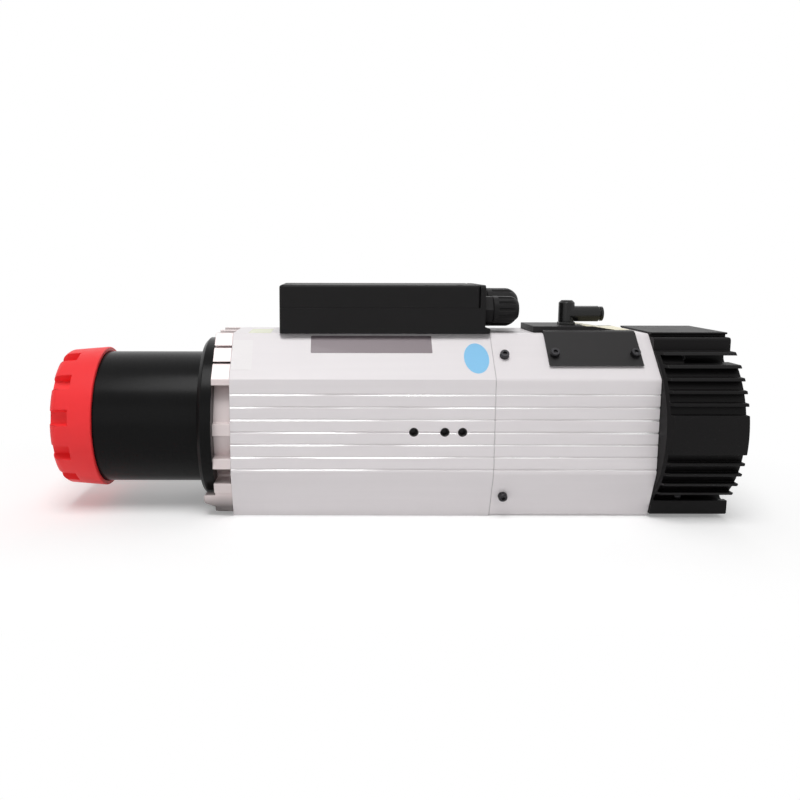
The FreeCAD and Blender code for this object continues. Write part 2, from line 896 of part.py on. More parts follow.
def rotor_core():
    """The laminated rotor on the shaft."""
    half = stator_length / 2
    return ring(-half, half, rotor_seat_radius, rotor_radius)


def rotor_end_rings():
    """The cast short-circuit rings at both ends of the rotor."""
    half = stator_length / 2
    radius = rotor_radius - end_ring_step
    return grouped([
        ring(half, half + end_ring_length, rotor_seat_radius, radius),
        ring(-half - end_ring_length, -half, rotor_seat_radius, radius),
    ])


# Bearings

def bearings():
    """Each bearing's front station, width, inner, outer and ball radius."""
    second = front_bearing_front + front_bearing_width + front_spacer_length
    front = (front_bearing_width, front_inner_radius, front_outer_radius, front_ball_radius)
    rear = (rear_bearing_width, rear_inner_radius, rear_outer_radius, rear_ball_radius)
    return [(front_bearing_front,) + front, (second,) + front, (rear_bearing_front,) + rear]


def raceway_ring(start, width, seat_radius, pitch_radius, ball_radius, outwards):
    """A bearing ring with a ball groove; outwards is 1 for the outer ring and -1 for the inner."""
    middle = start + width / 2
    land = pitch_radius + outwards * land_share * ball_radius
    floor = pitch_radius + outwards * (ball_radius + ball_gap)
    profile = [
        (start, seat_radius),
        (start, land),
        (middle - groove_land_share * ball_radius, land),
        (middle - groove_floor_share * ball_radius, floor),
        (middle + groove_floor_share * ball_radius, floor),
        (middle + groove_land_share * ball_radius, land),
        (start + width, land),
        (start + width, seat_radius),
    ]
    return turned(profile)


def bearing_outer_rings():
    """The outer rings of the front pair and the rear bearing."""
    rings = []
    for start, width, inner, outer, ball in bearings():
        rings.append(raceway_ring(start, width, outer, (inner + outer) / 2, ball, 1))
    return grouped(rings)


def bearing_inner_rings():
    """The inner rings of the front pair and the rear bearing."""
    rings = []
    for start, width, inner, outer, ball in bearings():
        rings.append(raceway_ring(start, width, inner, (inner + outer) / 2, ball, -1))
    return grouped(rings)


def ball_places(start, width, inner, outer):
    """The centres of one bearing's balls."""
    pitch_radius = (inner + outer) / 2
    places = []
    for step in range(balls_per_bearing):
        turn = 2 * math.pi * step / balls_per_bearing
        y = pitch_radius * math.cos(turn)
        z = pitch_radius * math.sin(turn)
        places.append(Vector(start + width / 2, y, z))
    return places


def bearing_balls():
    """The balls of all three bearings."""
    balls = []
    for start, width, inner, outer, ball in bearings():
        for place in ball_places(start, width, inner, outer):
            balls.append(Part.makeSphere(ball, place))
    return grouped(balls)


def bearing_cages():
    """The cages, each a ring with a round pocket for every ball."""
    cages = []
    for start, width, inner, outer, ball in bearings():
        pitch_radius = (inner + outer) / 2
        middle = start + width / 2
        half = ball * cage_half_width_share
        low = pitch_radius - cage_half_thickness
        high = pitch_radius + cage_half_thickness
        cage = ring(middle - half, middle + half, low, high)
        pockets = []
        for place in ball_places(start, width, inner, outer):
            outward = Vector(0, place.y, place.z)
            start_point = Vector(place.x, place.y / 2, place.z / 2)
            pockets.append(Part.makeCylinder(ball + ball_gap, pitch_radius, start_point, outward))
        cages.append(cage.cut(pockets))
    return grouped(cages)


def bearing_spacer(inner, outer):
    """A spacer ring between the two front bearings."""
    start = front_bearing_front + front_bearing_width
    return ring(start, start + front_spacer_length, inner, outer)


def outer_spacer():
    """The spacer between the front bearings' outer rings."""
    return bearing_spacer(front_outer_radius - spacer_wall, front_outer_radius)


def inner_spacer():
    """The spacer between the front bearings' inner rings."""
    return bearing_spacer(front_inner_radius, front_inner_radius + spacer_wall)


# Rotating shaft and what is fixed to it

def spindle_shaft():
    """The hollow shaft with its tool taper, drive key slots and spring chamber."""
    taper_end_radius = taper_mouth_radius - taper_length * taper_ratio / 2
    outside = [
        (shaft_front, shaft_nose_radius - edge_break),
        (shaft_front + edge_break, shaft_nose_radius),
        (front_bearing_front, shaft_nose_radius),
        (front_bearing_front, front_inner_radius),
        (front_locknut_end, front_inner_radius),
        (front_locknut_end, rotor_seat_radius),
        (stator_length / 2 + end_ring_length, rotor_seat_radius),
        (stator_length / 2 + end_ring_length, rear_shoulder_radius),
        (rear_bearing_front, rear_shoulder_radius),
        (rear_bearing_front, rear_inner_radius),
        (shaft_rear, rear_inner_radius),
    ]
    inside = [
        (shaft_rear, spring_chamber_radius),
        (spring_chamber_position, spring_chamber_radius),
        (spring_chamber_position, drawbar_guide_radius),
        (gripper_end, drawbar_guide_radius),
        (gripper_end, gripper_bore_radius),
        (gripper_front, gripper_bore_radius),
        (gripper_front, taper_end_radius),
        (shaft_front, taper_mouth_radius),
    ]
    return turned(outside + inside).cut([key_block(side, 0.0) for side in (1, -1)])


def key_block(side, proud):
    """One drive key, seated in the shaft's face above or below the taper."""
    x0 = shaft_front - proud
    x1 = shaft_front + key_depth
    z0, z1 = sorted((side * key_inner_radius, side * (shaft_nose_radius - key_edge_margin)))
    return block(x0, x1, -key_width / 2, key_width / 2, z0, z1)


def drive_keys():
    """The two keys that drive the tool holder."""
    return grouped([key_block(side, key_proud) for side in (1, -1)])


def locknut(start, length, inner, outer):
    """A round nut with four spanner slots."""
    body = ring(start, start + length, inner, outer)
    width = locknut_slot / 2
    slot = block(start, start + length, -width, width, outer - locknut_slot_depth, 2 * outer)
    return body.cut(repeated(slot, 4))


def front_locknut():
    """The nut that clamps the front bearings' inner rings."""
    return locknut(front_bearing_rear, front_locknut_length, front_inner_radius, front_locknut_radius)


def rear_locknut():
    """The nut that clamps the rear bearing's inner ring."""
    return locknut(rear_bearing_rear, rear_locknut_length, rear_inner_radius, rear_locknut_radius)


def sensor_ring():
    """The ring behind the rear nut that the speed sensor reads."""
    body = ring(rear_locknut_end, sensor_ring_end, rear_inner_radius, sensor_ring_radius)
    width = sensor_notch_width / 2
    low = sensor_ring_radius - sensor_notch_depth
    return body.cut(block(rear_locknut_end, sensor_ring_end, -width, width, low, 2 * sensor_ring_radius))


# Drawbar, gripper and springs

def drawbar():
    """The bar through the shaft that pulls the tool in."""
    profile = [
        (gripper_end - gripper_tail_length, 0.0),
        (gripper_end - gripper_tail_length, drawbar_spigot_radius),
        (gripper_end, drawbar_spigot_radius),
        (gripper_end, drawbar_rod_radius),
        (spring_end + drawbar_nut_length, drawbar_rod_radius),
        (spring_end + drawbar_nut_length, drawbar_tail_radius),
        (drawbar_end, drawbar_tail_radius),
        (drawbar_end, 0.0),
    ]
    return turned(profile)


def drawbar_nut():
    """The nut on the drawbar that the spring pack pushes."""
    return ring(spring_end, spring_end + drawbar_nut_length, drawbar_rod_radius, drawbar_nut_radius)


def gripper():
    """The slotted gripper that closes on the tool's pull stud."""
    profile = [
        (gripper_front, gripper_lip_radius),
        (gripper_front, gripper_radius),
        (gripper_end, gripper_radius),
        (gripper_end, drawbar_spigot_radius),
        (gripper_end - gripper_tail_length, drawbar_spigot_radius),
        (gripper_end - gripper_tail_length, gripper_hollow_radius),
        (gripper_front + gripper_lip_length + gripper_lip_slope, gripper_hollow_radius),
        (gripper_front + gripper_lip_length, gripper_lip_radius),
    ]
    slot_end = gripper_end - gripper_tail_length - gripper_slot_margin
    slot = block(gripper_front, slot_end, -gripper_slot / 2, gripper_slot / 2, 0, gripper_radius)
    return turned(profile).cut(repeated(slot, 4, gripper_slot_phase))


def cone_stack(start, count, pitch, thickness, inner, outer):
    """Cone springs set face to face along the axis."""
    rise = pitch - thickness
    springs = []
    for index in range(count):
        near = start + index * pitch
        lean = rise if index % 2 else 0.0
        opposite = rise - lean
        profile = [
            (near + lean, inner),
            (near + lean + thickness, inner),
            (near + opposite + thickness, outer),
            (near + opposite, outer),
        ]
        springs.append(turned(profile))
    return grouped(springs)


def disc_springs():
    """The pack of cone springs that pulls the drawbar in."""
    inner = drawbar_rod_radius + spring_clearance
    outer = spring_chamber_radius - spring_clearance
    return cone_stack(spring_chamber_position, spring_count, spring_pitch, spring_thickness, inner, outer)


# Pneumatic release cylinder

def four_corners():
    """The places of the cylinder's four tie screws."""
    offset = cylinder_screw_offset
    return [(offset, offset), (-offset, offset), (-offset, -offset), (offset, -offset)]


def cylinder_standoffs():
    """The four posts that carry the cylinder behind the end shield."""
    posts = []
    for y, z in four_corners():
        post = rod(shield_rear, cylinder_front, standoff_radius, y, z)
        tapping = rod(cylinder_front - cylinder_screw_grip, cylinder_front, cylinder_screw_radius, y, z)
        posts.append(post.cut(tapping))
    return grouped(posts)


def cylinder_body():
    """The release cylinder, with a drilled air passage in its wall."""
    body = rod(cylinder_front, cylinder_rear, cylinder_radius)
    cuts = [
        rod(cylinder_front + cylinder_front_wall, cylinder_rear, cylinder_bore_radius),
        rod(cylinder_front, cylinder_rear, piston_rod_radius + sliding_fit),
        rod(fitting_position, cylinder_rear, air_passage_radius, 0.0, cylinder_wall_middle),
        Part.makeCylinder(
            air_passage_radius,
            cylinder_radius - cylinder_wall_middle,
            Vector(fitting_position, 0, cylinder_wall_middle),
            Vector(0, 0, 1),
        ),
    ]
    cuts += [rod(cylinder_front, cylinder_rear, cylinder_screw_radius, y, z) for y, z in four_corners()]
    return body.cut(cuts)


def cylinder_cover():
    """The cylinder's end cover, with the groove that leads the air behind the piston."""
    body = rod(cylinder_rear, cylinder_cover_rear, cylinder_radius)
    low = cylinder_bore_radius - air_groove_reach
    high = cylinder_wall_middle + air_passage_radius
    groove_end = cylinder_rear + air_groove_depth
    cuts = [block(cylinder_rear, groove_end, -air_passage_radius, air_passage_radius, low, high)]
    for y, z in four_corners():
        cuts.append(rod(cylinder_rear, cylinder_cover_rear, cylinder_screw_radius, y, z))
    return body.cut(cuts)


def cylinder_screws():
    """The long tie screws through the cover and the cylinder into the standoffs."""
    screws = []
    length = cylinder_cover_rear - cylinder_front + cylinder_screw_grip
    for y, z in four_corners():
        seat = Vector(cylinder_cover_rear, y, z)
        screws.append(socket_screw(seat, Vector(-1, 0, 0), cylinder_screw_radius, length))
    return grouped(screws)


def piston():
    """The piston and the rod that pushes the drawbar."""
    disc_front = piston_rear - piston_thickness
    radius = cylinder_bore_radius - sliding_fit
    middle = (disc_front + piston_rear) / 2
    groove = radius - seal_groove_depth
    profile = [
        (piston_front, 0.0),
        (piston_front, piston_rod_radius - edge_break),
        (piston_front + edge_break, piston_rod_radius),
        (disc_front, piston_rod_radius),
        (disc_front, radius),
        (middle - seal_width / 2, radius),
        (middle - seal_width / 2, groove),
        (middle + seal_width / 2, groove),
        (middle + seal_width / 2, radius),
        (piston_rear, radius),
        (piston_rear, 0.0),
    ]
    return turned(profile)


def piston_seal():
    """The ring seal in the piston's groove."""
    middle = piston_rear - piston_thickness / 2
    outer = cylinder_bore_radius - sliding_fit / 2
    inner = cylinder_bore_radius - sliding_fit - seal_groove_depth
    return ring(middle - seal_width / 2, middle + seal_width / 2, inner, outer)


def piston_return_springs():
    """The cone springs round the piston rod that bring the piston back."""
    start = cylinder_front + cylinder_front_wall
    pitch = (piston_rear - piston_thickness - start) / return_spring_count
    inner = piston_rod_radius + spring_clearance
    outer = return_spring_radius
    return cone_stack(start, return_spring_count, pitch, return_spring_thickness, inner, outer)


def air_inlet_block():
    """The block that leads air from the fitting down to the cylinder."""
    half = inlet_block_width / 2
    body = block(fitting_position - half, fitting_position + half, -half, half, 0, axis_height)
    base = Vector(fitting_position, 0, 0)
    thread_start = Vector(fitting_position, 0, axis_height - inlet_thread_depth)
    thread = Part.makeCylinder(stem_thread_radius, inlet_thread_depth, thread_start)
    way = Part.makeCylinder(air_passage_radius, axis_height, base)
    return body.cut([rod(cylinder_front, cylinder_rear, cylinder_radius), way, thread])


# Tool sensors

def sensor_bracket():
    """The bent bracket on the end shield that carries the sensors over the ring."""
    x0 = shield_rear
    foot = ring(x0, x0 + sensor_shelf_thickness, sensor_foot_radius, sensor_shelf_radius)
    outer = sensor_shelf_radius + sensor_shelf_thickness
    shelf = ring(x0, x0 + sensor_shelf_length, sensor_shelf_radius, outer)
    side_cut = standoff_radius + running_gap
    reach = cylinder_screw_offset - side_cut
    keep = block(x0, x0 + sensor_shelf_length, -reach, reach, 0, body_height)
    hole = sensor_bar(0, body_height)
    return fused([foot, shelf]).common(keep).cut([about_axis(hole, angle) for angle in sensor_angles])


def sensor_bar(low, high):
    """One upright sensor body between two radii."""
    middle = (rear_locknut_end + sensor_ring_end) / 2
    return Part.makeCylinder(sensor_radius, high - low, Vector(middle, 0, low))


def tool_sensors():
    """The three sensors that report the drawbar and the shaft."""
    bar = sensor_bar(sensor_ring_radius + sensor_gap, sensor_top)
    return grouped([about_axis(bar, angle) for angle in sensor_angles])


# Fan and its cover

def chamfer_reach(height, upper):
    """How far out the body section's chamfer lies at a height from its middle."""
    half_flat = (top_flat_width if upper else bottom_flat_width) / 2
    drop = top_chamfer_height if upper else bottom_chamfer_height
    return half_flat + (body_height / 2 - height) / drop * (body_width / 2 - half_flat)


def fan_screw_places():
    """The places of the four fan cover screws, level with the outermost gap between the fins."""
    top = chamfer_reach(fan_screw_height, True) - fan_screw_top_inset
    bottom = chamfer_reach(fan_screw_height, False) - fan_screw_bottom_inset
    places = [(side * top, fan_screw_height) for side in (1, -1)]
    return places + [(side * bottom, -fan_screw_height) for side in (1, -1)]


def fan_slots():
    """The gaps between the cover's fins, outside its core."""
    x0 = rear_shell_end + fan_front_wall
    core = rod(x0, fan_cover_end, fan_core_radius)
    slots = []
    for index in range(fan_fin_count):
        start = fan_panel_half_height + index * fan_fin_pitch
        for low in (start, -start - fan_gap):
            slots.append(block(x0, fan_cover_end, -fan_cover_radius, fan_cover_radius, low, low + fan_gap))
    return [slot.cut(core) for slot in slots]


def screw_channel(y, z):
    """The room behind one cover screw: a round way in from the rear, open at its side between two fins."""
    x0 = rear_shell_end + fan_screw_setback
    way = rod(x0, fan_cover_end, fan_screw_radius * head_radius_ratio + running_gap, y, z)
    y0, y1 = sorted((y, math.copysign(fan_cover_radius, y)))
    return way.fuse(block(x0, fan_cover_end, y0, y1, z - fan_gap / 2, z + fan_gap / 2))


def fan_corner_block(half_width, z0, z1, edge_height):
    """A square block across the cover, with the two long edges at one height rounded."""
    body = block(rear_shell_end, fan_cover_end, -half_width, half_width, z0, z1)
    bends = []
    for edge in body.Edges:
        box = edge.BoundBox
        if box.XLength > fan_cover_length / 2 and abs(box.Center.z - edge_height) < fan_block_rounding:
            bends.append(edge)
    return body.makeFillet(fan_block_rounding, bends)


def fan_envelope():
    """The cover's outside: round at its fins, square at its corners, with a lip along its top."""
    x0 = rear_shell_end
    x1 = fan_cover_end
    far = fan_cover_radius
    barrel = turned([
        (x0, 0),
        (x0, far - fan_front_bevel),
        (x0 + fan_front_bevel, far),
        (x1, far),
        (x1, 0),
    ])
    barrel = barrel.common(block(x0, x1, -far, far, -fan_block_start, fan_block_start))
    lip_bottom = fan_cover_top - fan_lip_thickness
    block_top = lip_bottom - fan_lip_neck_height
    upper_half = top_flat_width / 2 + fan_upper_block_outset
    lower_half = bottom_flat_width / 2 + fan_lower_block_outset
    upper = fan_corner_block(upper_half, 0, block_top, block_top)
    lower = fan_corner_block(lower_half, fan_cover_bottom, 0, fan_cover_bottom)
    lip_half = top_flat_width / 2 + fan_lip_outset
    neck_half = lip_half - fan_lip_overhang
    neck = block(x0, x1, -neck_half, neck_half, block_top - join_overlap, lip_bottom)
    lip = block(x0, x1, -lip_half, lip_half, lip_bottom, fan_cover_top)
    return fused([barrel, upper, lower, neck, lip])


def fan_cover():
    """The finned fan cover, round at its sides with square corners, fins and screw channels."""
    cuts = fan_slots() + [rod(rear_shell_end, fan_cover_end, fan_duct_radius)]
    cuts += [screw_channel(y, z) for y, z in fan_screw_places()]
    seat = rear_shell_end + fan_screw_setback
    cuts += [rod(rear_shell_end, seat, fan_screw_radius, y, z) for y, z in fan_screw_places()]
    return fan_envelope().cut(cuts)


def fan_cover_screws():
    """The long screws that hold the fan cover to the rear shell."""
    screws = []
    length = fan_screw_setback + fan_screw_grip
    for y, z in fan_screw_places():
        seat = Vector(rear_shell_end + fan_screw_setback, y, z)
        screws.append(socket_screw(seat, Vector(-1, 0, 0), fan_screw_radius, length))
    return grouped(screws)


def fan_guard():
    """The rear grille of rings and spokes, with the disc that carries the fan motor."""
    x0 = guard_front
    x1 = guard_front + guard_thickness
    rim_inner = fan_duct_radius - guard_rim_width
    pieces = [ring(x0, x1, rim_inner, fan_duct_radius), rod(x0, x1, fan_motor_radius)]
    step = (rim_inner - fan_motor_radius) / (guard_ring_count + 1)
    for index in range(guard_ring_count):
        middle = fan_motor_radius + (index + 1) * step
        pieces.append(ring(x0, x1, middle - guard_ring_width / 2, middle + guard_ring_width / 2))
    width = guard_spoke_width / 2
    low = fan_motor_radius - join_overlap
    spoke = block(x0, x1, -width, width, low, rim_inner + join_overlap)
    return fused(pieces + repeated(spoke, guard_spoke_count))


def fan_motor():
    """The fan's own motor, carried by the guard."""
    body = rod(fan_motor_front, guard_front, fan_motor_radius)
    bore = rod(fan_motor_front, guard_front - fan_motor_end_wall, fan_axle_radius + sliding_fit)
    return body.cut(bore)


def blade_section(radius, angle):
    """One blade section, a thin rectangle set at an angle to the axis at a radius."""
    half_chord = impeller_length / 2 / math.cos(math.radians(angle)) * impeller_chord_share
    half_thickness = impeller_blade_thickness / 2
    middle = fan_motor_front - impeller_setback + impeller_length / 2
    lean = math.radians(angle)
    along = Vector(math.cos(lean), math.sin(lean), 0)
    across = Vector(-math.sin(lean), math.cos(lean), 0)
    centre = Vector(middle, 0, radius)
    corners = []
    for u, v in ((-1, -1), (1, -1), (1, 1), (-1, 1)):
        corners.append(centre + along * (u * half_chord) + across * (v * half_thickness))
    return Part.makePolygon(corners + corners[:1])


def fan_impeller():
    """The axial impeller: a cup hub over the motor, an axle and twisted blades."""
    front = fan_motor_front - impeller_setback
    end = front + impeller_length
    inner = impeller_hub_radius - impeller_hub_wall
    cup = rod(front, end, impeller_hub_radius).cut(rod(front + impeller_hub_wall, end, inner))
    axle = rod(front, guard_front - fan_motor_end_wall - running_gap, fan_axle_radius)
    tip_radius = fan_duct_radius - impeller_tip_gap
    root = blade_section(impeller_hub_radius * impeller_root_share, impeller_root_angle)
    tip = blade_section(tip_radius + join_overlap, impeller_tip_angle)
    blade = Part.makeLoft([root, tip], True, True)
    blade = blade.common(ring(front, end, (inner + impeller_hub_radius) / 2, tip_radius))
    return fused([cup, axle] + repeated(blade, impeller_blade_count))


# Junction box

def box_outline(x0, x1, half_width, z0, z1, rounding):
    """A box with its upright edges rounded."""
    body = block(x0, x1, -half_width, half_width, z0, z1)
    upright = [edge for edge in body.Edges if edge.BoundBox.ZLength > (z1 - z0) / 2]
    return body.makeFillet(rounding, upright)


def box_screw_places():
    """The places of the lid's four screws."""
    x0 = box_front + box_screw_inset
    x1 = box_end - box_end_wall - box_screw_end_inset
    y = box_half_width - box_screw_inset
    return [(x0, y), (x0, -y), (x1, y), (x1, -y)]


def box_posts(z0, z1):
    """The four corner posts that the lid screws pass through."""
    return [Part.makeCylinder(box_post_radius, z1 - z0, Vector(x, y, z0)) for x, y in box_screw_places()]


def box_screw_holes(radius, z0, z1):
    """The holes of the four lid screws."""
    return [Part.makeCylinder(radius, z1 - z0, Vector(x, y, z0)) for x, y in box_screw_places()]


def gasket_frame():
    """The space of the gasket in the base's rim."""
    inset = (box_wall - gasket_width) / 2
    x0 = box_front + inset
    x1 = box_end - box_end_wall
    half = box_half_width - inset
    z0 = box_parting - gasket_height
    outer = box_outline(x0, x1, half, z0, box_parting, box_corner_radius - inset)
    radius = box_corner_radius - inset - gasket_width / 2
    inner = box_outline(x0 + gasket_width, x1 + box_wall, half - gasket_width, z0, box_parting, radius)
    return outer.cut(inner)


def junction_box_base():
    """The lower half of the box with the raised end wall that carries the glands."""
    base = box_outline(box_front, box_end, box_half_width, box_bottom, box_parting, box_corner_radius)
    half = box_half_width
    end_wall = block(box_end - box_end_wall, box_end, -half, half, box_bottom, box_top)
    lengthwise = [edge for edge in end_wall.Edges if edge.BoundBox.XLength > box_end_wall / 2]
    top_edges = [edge for edge in lengthwise if edge.BoundBox.ZMin > box_parting]
    end_wall = end_wall.makeFillet(box_corner_radius, top_edges)
    foot_end = box_end + box_foot_length
    foot_top = box_bottom + box_foot_height
    foot = box_outline(box_end - box_end_wall, foot_end, half, box_bottom, foot_top, box_corner_radius)
    inner_front = box_front + box_wall
    inner_end = box_end - box_end_wall
    inner_half = box_half_width - box_wall
    room = block(inner_front, inner_end, -inner_half, inner_half, box_bottom + box_floor, box_parting)
    room = room.cut(box_posts(box_bottom, box_parting))
    wire_hole = Part.makeCylinder(wire_hole_radius, box_floor, Vector(wire_hole_position, 0, box_bottom))
    cuts = [room, wire_hole, gasket_frame()]
    cuts += box_screw_holes(box_screw_radius, box_screw_seat - box_screw_length, box_parting)
    for offset, thread in gland_threads():
        cuts.append(rod(box_end - box_end_wall, box_end, thread, offset, box_bottom + gland_height))
    return fused([base, end_wall, foot]).cut(cuts)


def gland_threads():
    """Each gland's sideways place and thread radius."""
    return [
        (power_gland_offset, power_gland_thread_radius),
        (signal_gland_offset, signal_gland_thread_radius),
    ]


def junction_box_gasket():
    """The seal between the base and the lid."""
    return gasket_frame()


def junction_box_lid():
    """The deep lid with its rounded top and screw wells."""
    x1 = box_end - box_end_wall
    lid = box_outline(box_front, x1, box_half_width, box_parting, box_top, box_corner_radius)
    top_edges = [edge for edge in lid.Edges if edge.BoundBox.ZMin > box_top - box_top_rounding]
    lid = lid.makeFillet(box_top_rounding, top_edges)
    inner_half = box_half_width - box_wall
    room = block(box_front + box_wall, x1, -inner_half, inner_half, box_parting, box_top - box_wall)
    room = room.cut(box_posts(box_parting, box_top))
    head = box_screw_radius * head_radius_ratio + seat_gap
    wells = box_screw_holes(head, box_screw_seat, box_top)
    holes = box_screw_holes(box_screw_radius, box_parting, box_top)
    return lid.cut([room] + wells + holes)


def junction_box_screws():
    """The four lid screws, sunk in their wells."""
    screws = []
    for x, y in box_screw_places():
        seat = Vector(x, y, box_screw_seat)
        screws.append(socket_screw(seat, Vector(0, 0, -1), box_screw_radius, box_screw_length))
    return grouped(screws)


def terminal_block():
    """The screw terminal strip on the box floor, one well for each wire."""
    x0 = terminal_start
    z0 = box_bottom + box_floor
    half = terminal_width / 2
    body = block(x0, x0 + terminal_length, -half, half, z0, z0 + terminal_height)
    pitch = terminal_length / terminal_ways
    wells = []
    for index in range(terminal_ways):
        start = x0 + index * pitch + terminal_wall
        end = x0 + (index + 1) * pitch - terminal_wall
        for y0, y1 in ((-half, -terminal_spine / 2), (terminal_spine / 2, half)):
            wells.append(block(start, end, y0, y1, z0 + terminal_floor, z0 + terminal_height))
    return body.cut(wells)


# Cable glands

def gland_body(offset, thread_radius, hex_radius, hex_length, bore):
    """A gland's threaded body with its hexagon against the box wall."""
    z = box_bottom + gland_height
    inner_end = box_end - box_end_wall - gland_locknut_length - gland_thread_spare
    throat_end = box_end + hex_length + gland_throat_length
    thread = rod(inner_end, box_end, thread_radius, offset, z)
    collar = hexagon(box_end, box_end + hex_length, hex_radius, offset, z)
    throat = rod(box_end + hex_length, throat_end, thread_radius - gland_wall, offset, z)
    hole = rod(inner_end, throat_end, bore, offset, z)
    return fused([thread, collar, throat]).cut(hole)


def gland_nut(offset, thread_radius, nut_radius, start, length, bore):
    """A fluted dome nut over the gland's throat."""
    z = box_bottom + gland_height
    straight = start + length * gland_dome_share
    end = start + length
    shoulder = nut_radius * gland_shoulder_radius_share
    dome_start = Vector(straight, 0, nut_radius)
    dome_middle = Vector(straight + (end - straight) * gland_shoulder_share, 0, shoulder)
    dome_end = Vector(end, 0, bore + gland_lip)
    flat_side = [
        dome_end,
        Vector(end, 0, 0),
        Vector(start, 0, 0),
        Vector(start, 0, nut_radius - gland_edge),
        Vector(start + gland_edge, 0, nut_radius),
        dome_start,
    ]
    edges = [Part.makeLine(a, b) for a, b in zip(flat_side, flat_side[1:])]
    edges.append(Part.Arc(dome_start, dome_middle, dome_end).toShape())
    body = Part.Face(Part.Wire(edges)).revolve(Vector(0, 0, 0), Vector(1, 0, 0), 360)
    flute_radius = nut_radius * gland_flute_radius_share
    flute_start = start + gland_ring_length
    flute = rod(flute_start, end, flute_radius, 0, nut_radius + flute_radius - gland_flute_depth)
    socket = rod(start, start + gland_throat_length, thread_radius - gland_wall + seat_gap)
    body = body.cut(repeated(flute, gland_flute_count) + [socket, rod(start, end, bore)])
    body.translate(Vector(0, offset, z))
    return body


def power_gland_body():
    """The larger gland's body."""
    return gland_body(
        power_gland_offset,
        power_gland_thread_radius,
        power_gland_hex_radius,
        power_gland_hex_length,
        power_gland_bore_radius,
    )


def power_gland_nut():
    """The larger gland's dome nut."""
    return gland_nut(
        power_gland_offset,
        power_gland_thread_radius,
        power_gland_nut_radius,
        box_end + power_gland_hex_length,
        power_gland_nut_length,
        power_gland_bore_radius,
    )


def signal_gland_body():
    """The smaller gland's body."""
    return gland_body(
        signal_gland_offset,
        signal_gland_thread_radius,
        signal_gland_hex_radius,
        signal_gland_hex_length,
        signal_gland_bore_radius,
    )


def signal_gland_nut():
    """The smaller gland's dome nut."""
    return gland_nut(
        signal_gland_offset,
        signal_gland_thread_radius,
        signal_gland_nut_radius,
        box_end + signal_gland_hex_length,
        signal_gland_nut_length,
        signal_gland_bore_radius,
    )


def gland_locknuts():
    """The flat nuts inside the box."""
    nuts = []
    z = box_bottom + gland_height
    end = box_end - box_end_wall
    for offset, thread in gland_threads():
        nut = hexagon(end - gland_locknut_length, end, thread * gland_locknut_ratio, offset, z)
        nuts.append(nut.cut(rod(end - gland_locknut_length, end, thread, offset, z)))
    return grouped(nuts)


# Access cover and air fitting

def cover_screw_seats():
    """Head seats and inward directions of the access cover's four screws."""
    seats = []
    for x in (cover_start + cover_screw_inset, cover_end - cover_screw_inset):
        for side in (1, -1):
            point, normal = chamfer_point(0.5, True, side)
            seat = point + normal * cover_thickness
            seat.x = x
            seats.append((seat, normal.negative()))
    return seats


def cover_screw_shanks(radius):
    """Cylinders to cut the cover screws' holes with."""
    length = cover_screw_length
    return [Part.makeCylinder(radius, length, seat, inward) for seat, inward in cover_screw_seats()]


def access_cover():
    """The folded plate over the top face and most of both chamfers, with a raised pad."""
    outer = rounded_bar(cover_start, cover_end, -cover_thickness, rear_bend_radius + cover_thickness)
    inner = rounded_bar(cover_start, cover_end, 0.0, rear_bend_radius)
    point, normal = chamfer_point(cover_chamfer_share, True, 1)
    low_edge = point.z
    keep = block(cover_start, cover_end, -body_width, body_width, low_edge, body_height)
    plate = outer.cut(inner).common(keep)
    pad_start = cover_start - cover_pad_front
    pad_end = pad_start + cover_pad_length
    half = cover_pad_half_width
    corners = [
        Vector(pad_start, -half, axis_height),
        Vector(pad_start, -half, pad_top),
        Vector(pad_end - cover_pad_slope, -half, pad_top),
        Vector(pad_end, -half, cover_top),
        Vector(pad_end, -half, axis_height),
    ]
    pad = Part.Face(Part.makePolygon(corners + corners[:1])).extrude(Vector(0, 2 * half, 0))
    clear = Part.makeCylinder(stem_thread_radius, body_height, Vector(fitting_position, 0, 0))
    return fused([plate, pad]).cut([clear] + cover_screw_shanks(cover_screw_radius))


def access_cover_screws():
    """The four screws of the access cover."""
    screws = []
    for seat, inward in cover_screw_seats():
        screws.append(socket_screw(seat, inward, cover_screw_radius, cover_screw_length))
    return grouped(screws)


def fitting_stem():
    """The threaded stem of the air fitting with its hexagon on the cover."""
    z0 = pad_top
    x = fitting_position
    hex_bar = hexagon(0, stem_hex_height, stem_hex_radius)
    hex_bar.Placement = FreeCAD.Placement(Vector(x, 0, z0), Rotation(Vector(1, 0, 0), Vector(0, 0, 1)))
    thread_start = axis_height - stem_thread_length
    thread = Part.makeCylinder(stem_thread_radius, z0 - thread_start, Vector(x, 0, thread_start))
    neck_height = stem_hex_height + elbow_height / 2
    neck = Part.makeCylinder(elbow_radius - elbow_wall, neck_height, Vector(x, 0, z0))
    bore = Part.makeCylinder(stem_bore_radius, body_height, Vector(x, 0, thread_start))
    return fused([hex_bar, thread, neck]).cut(bore)


def elbow_base():
    """The height where the swivelling elbow starts."""
    return pad_top + stem_hex_height + running_gap


def branch_height():
    """The height of the elbow's branch."""
    return pad_top + elbow_branch_height


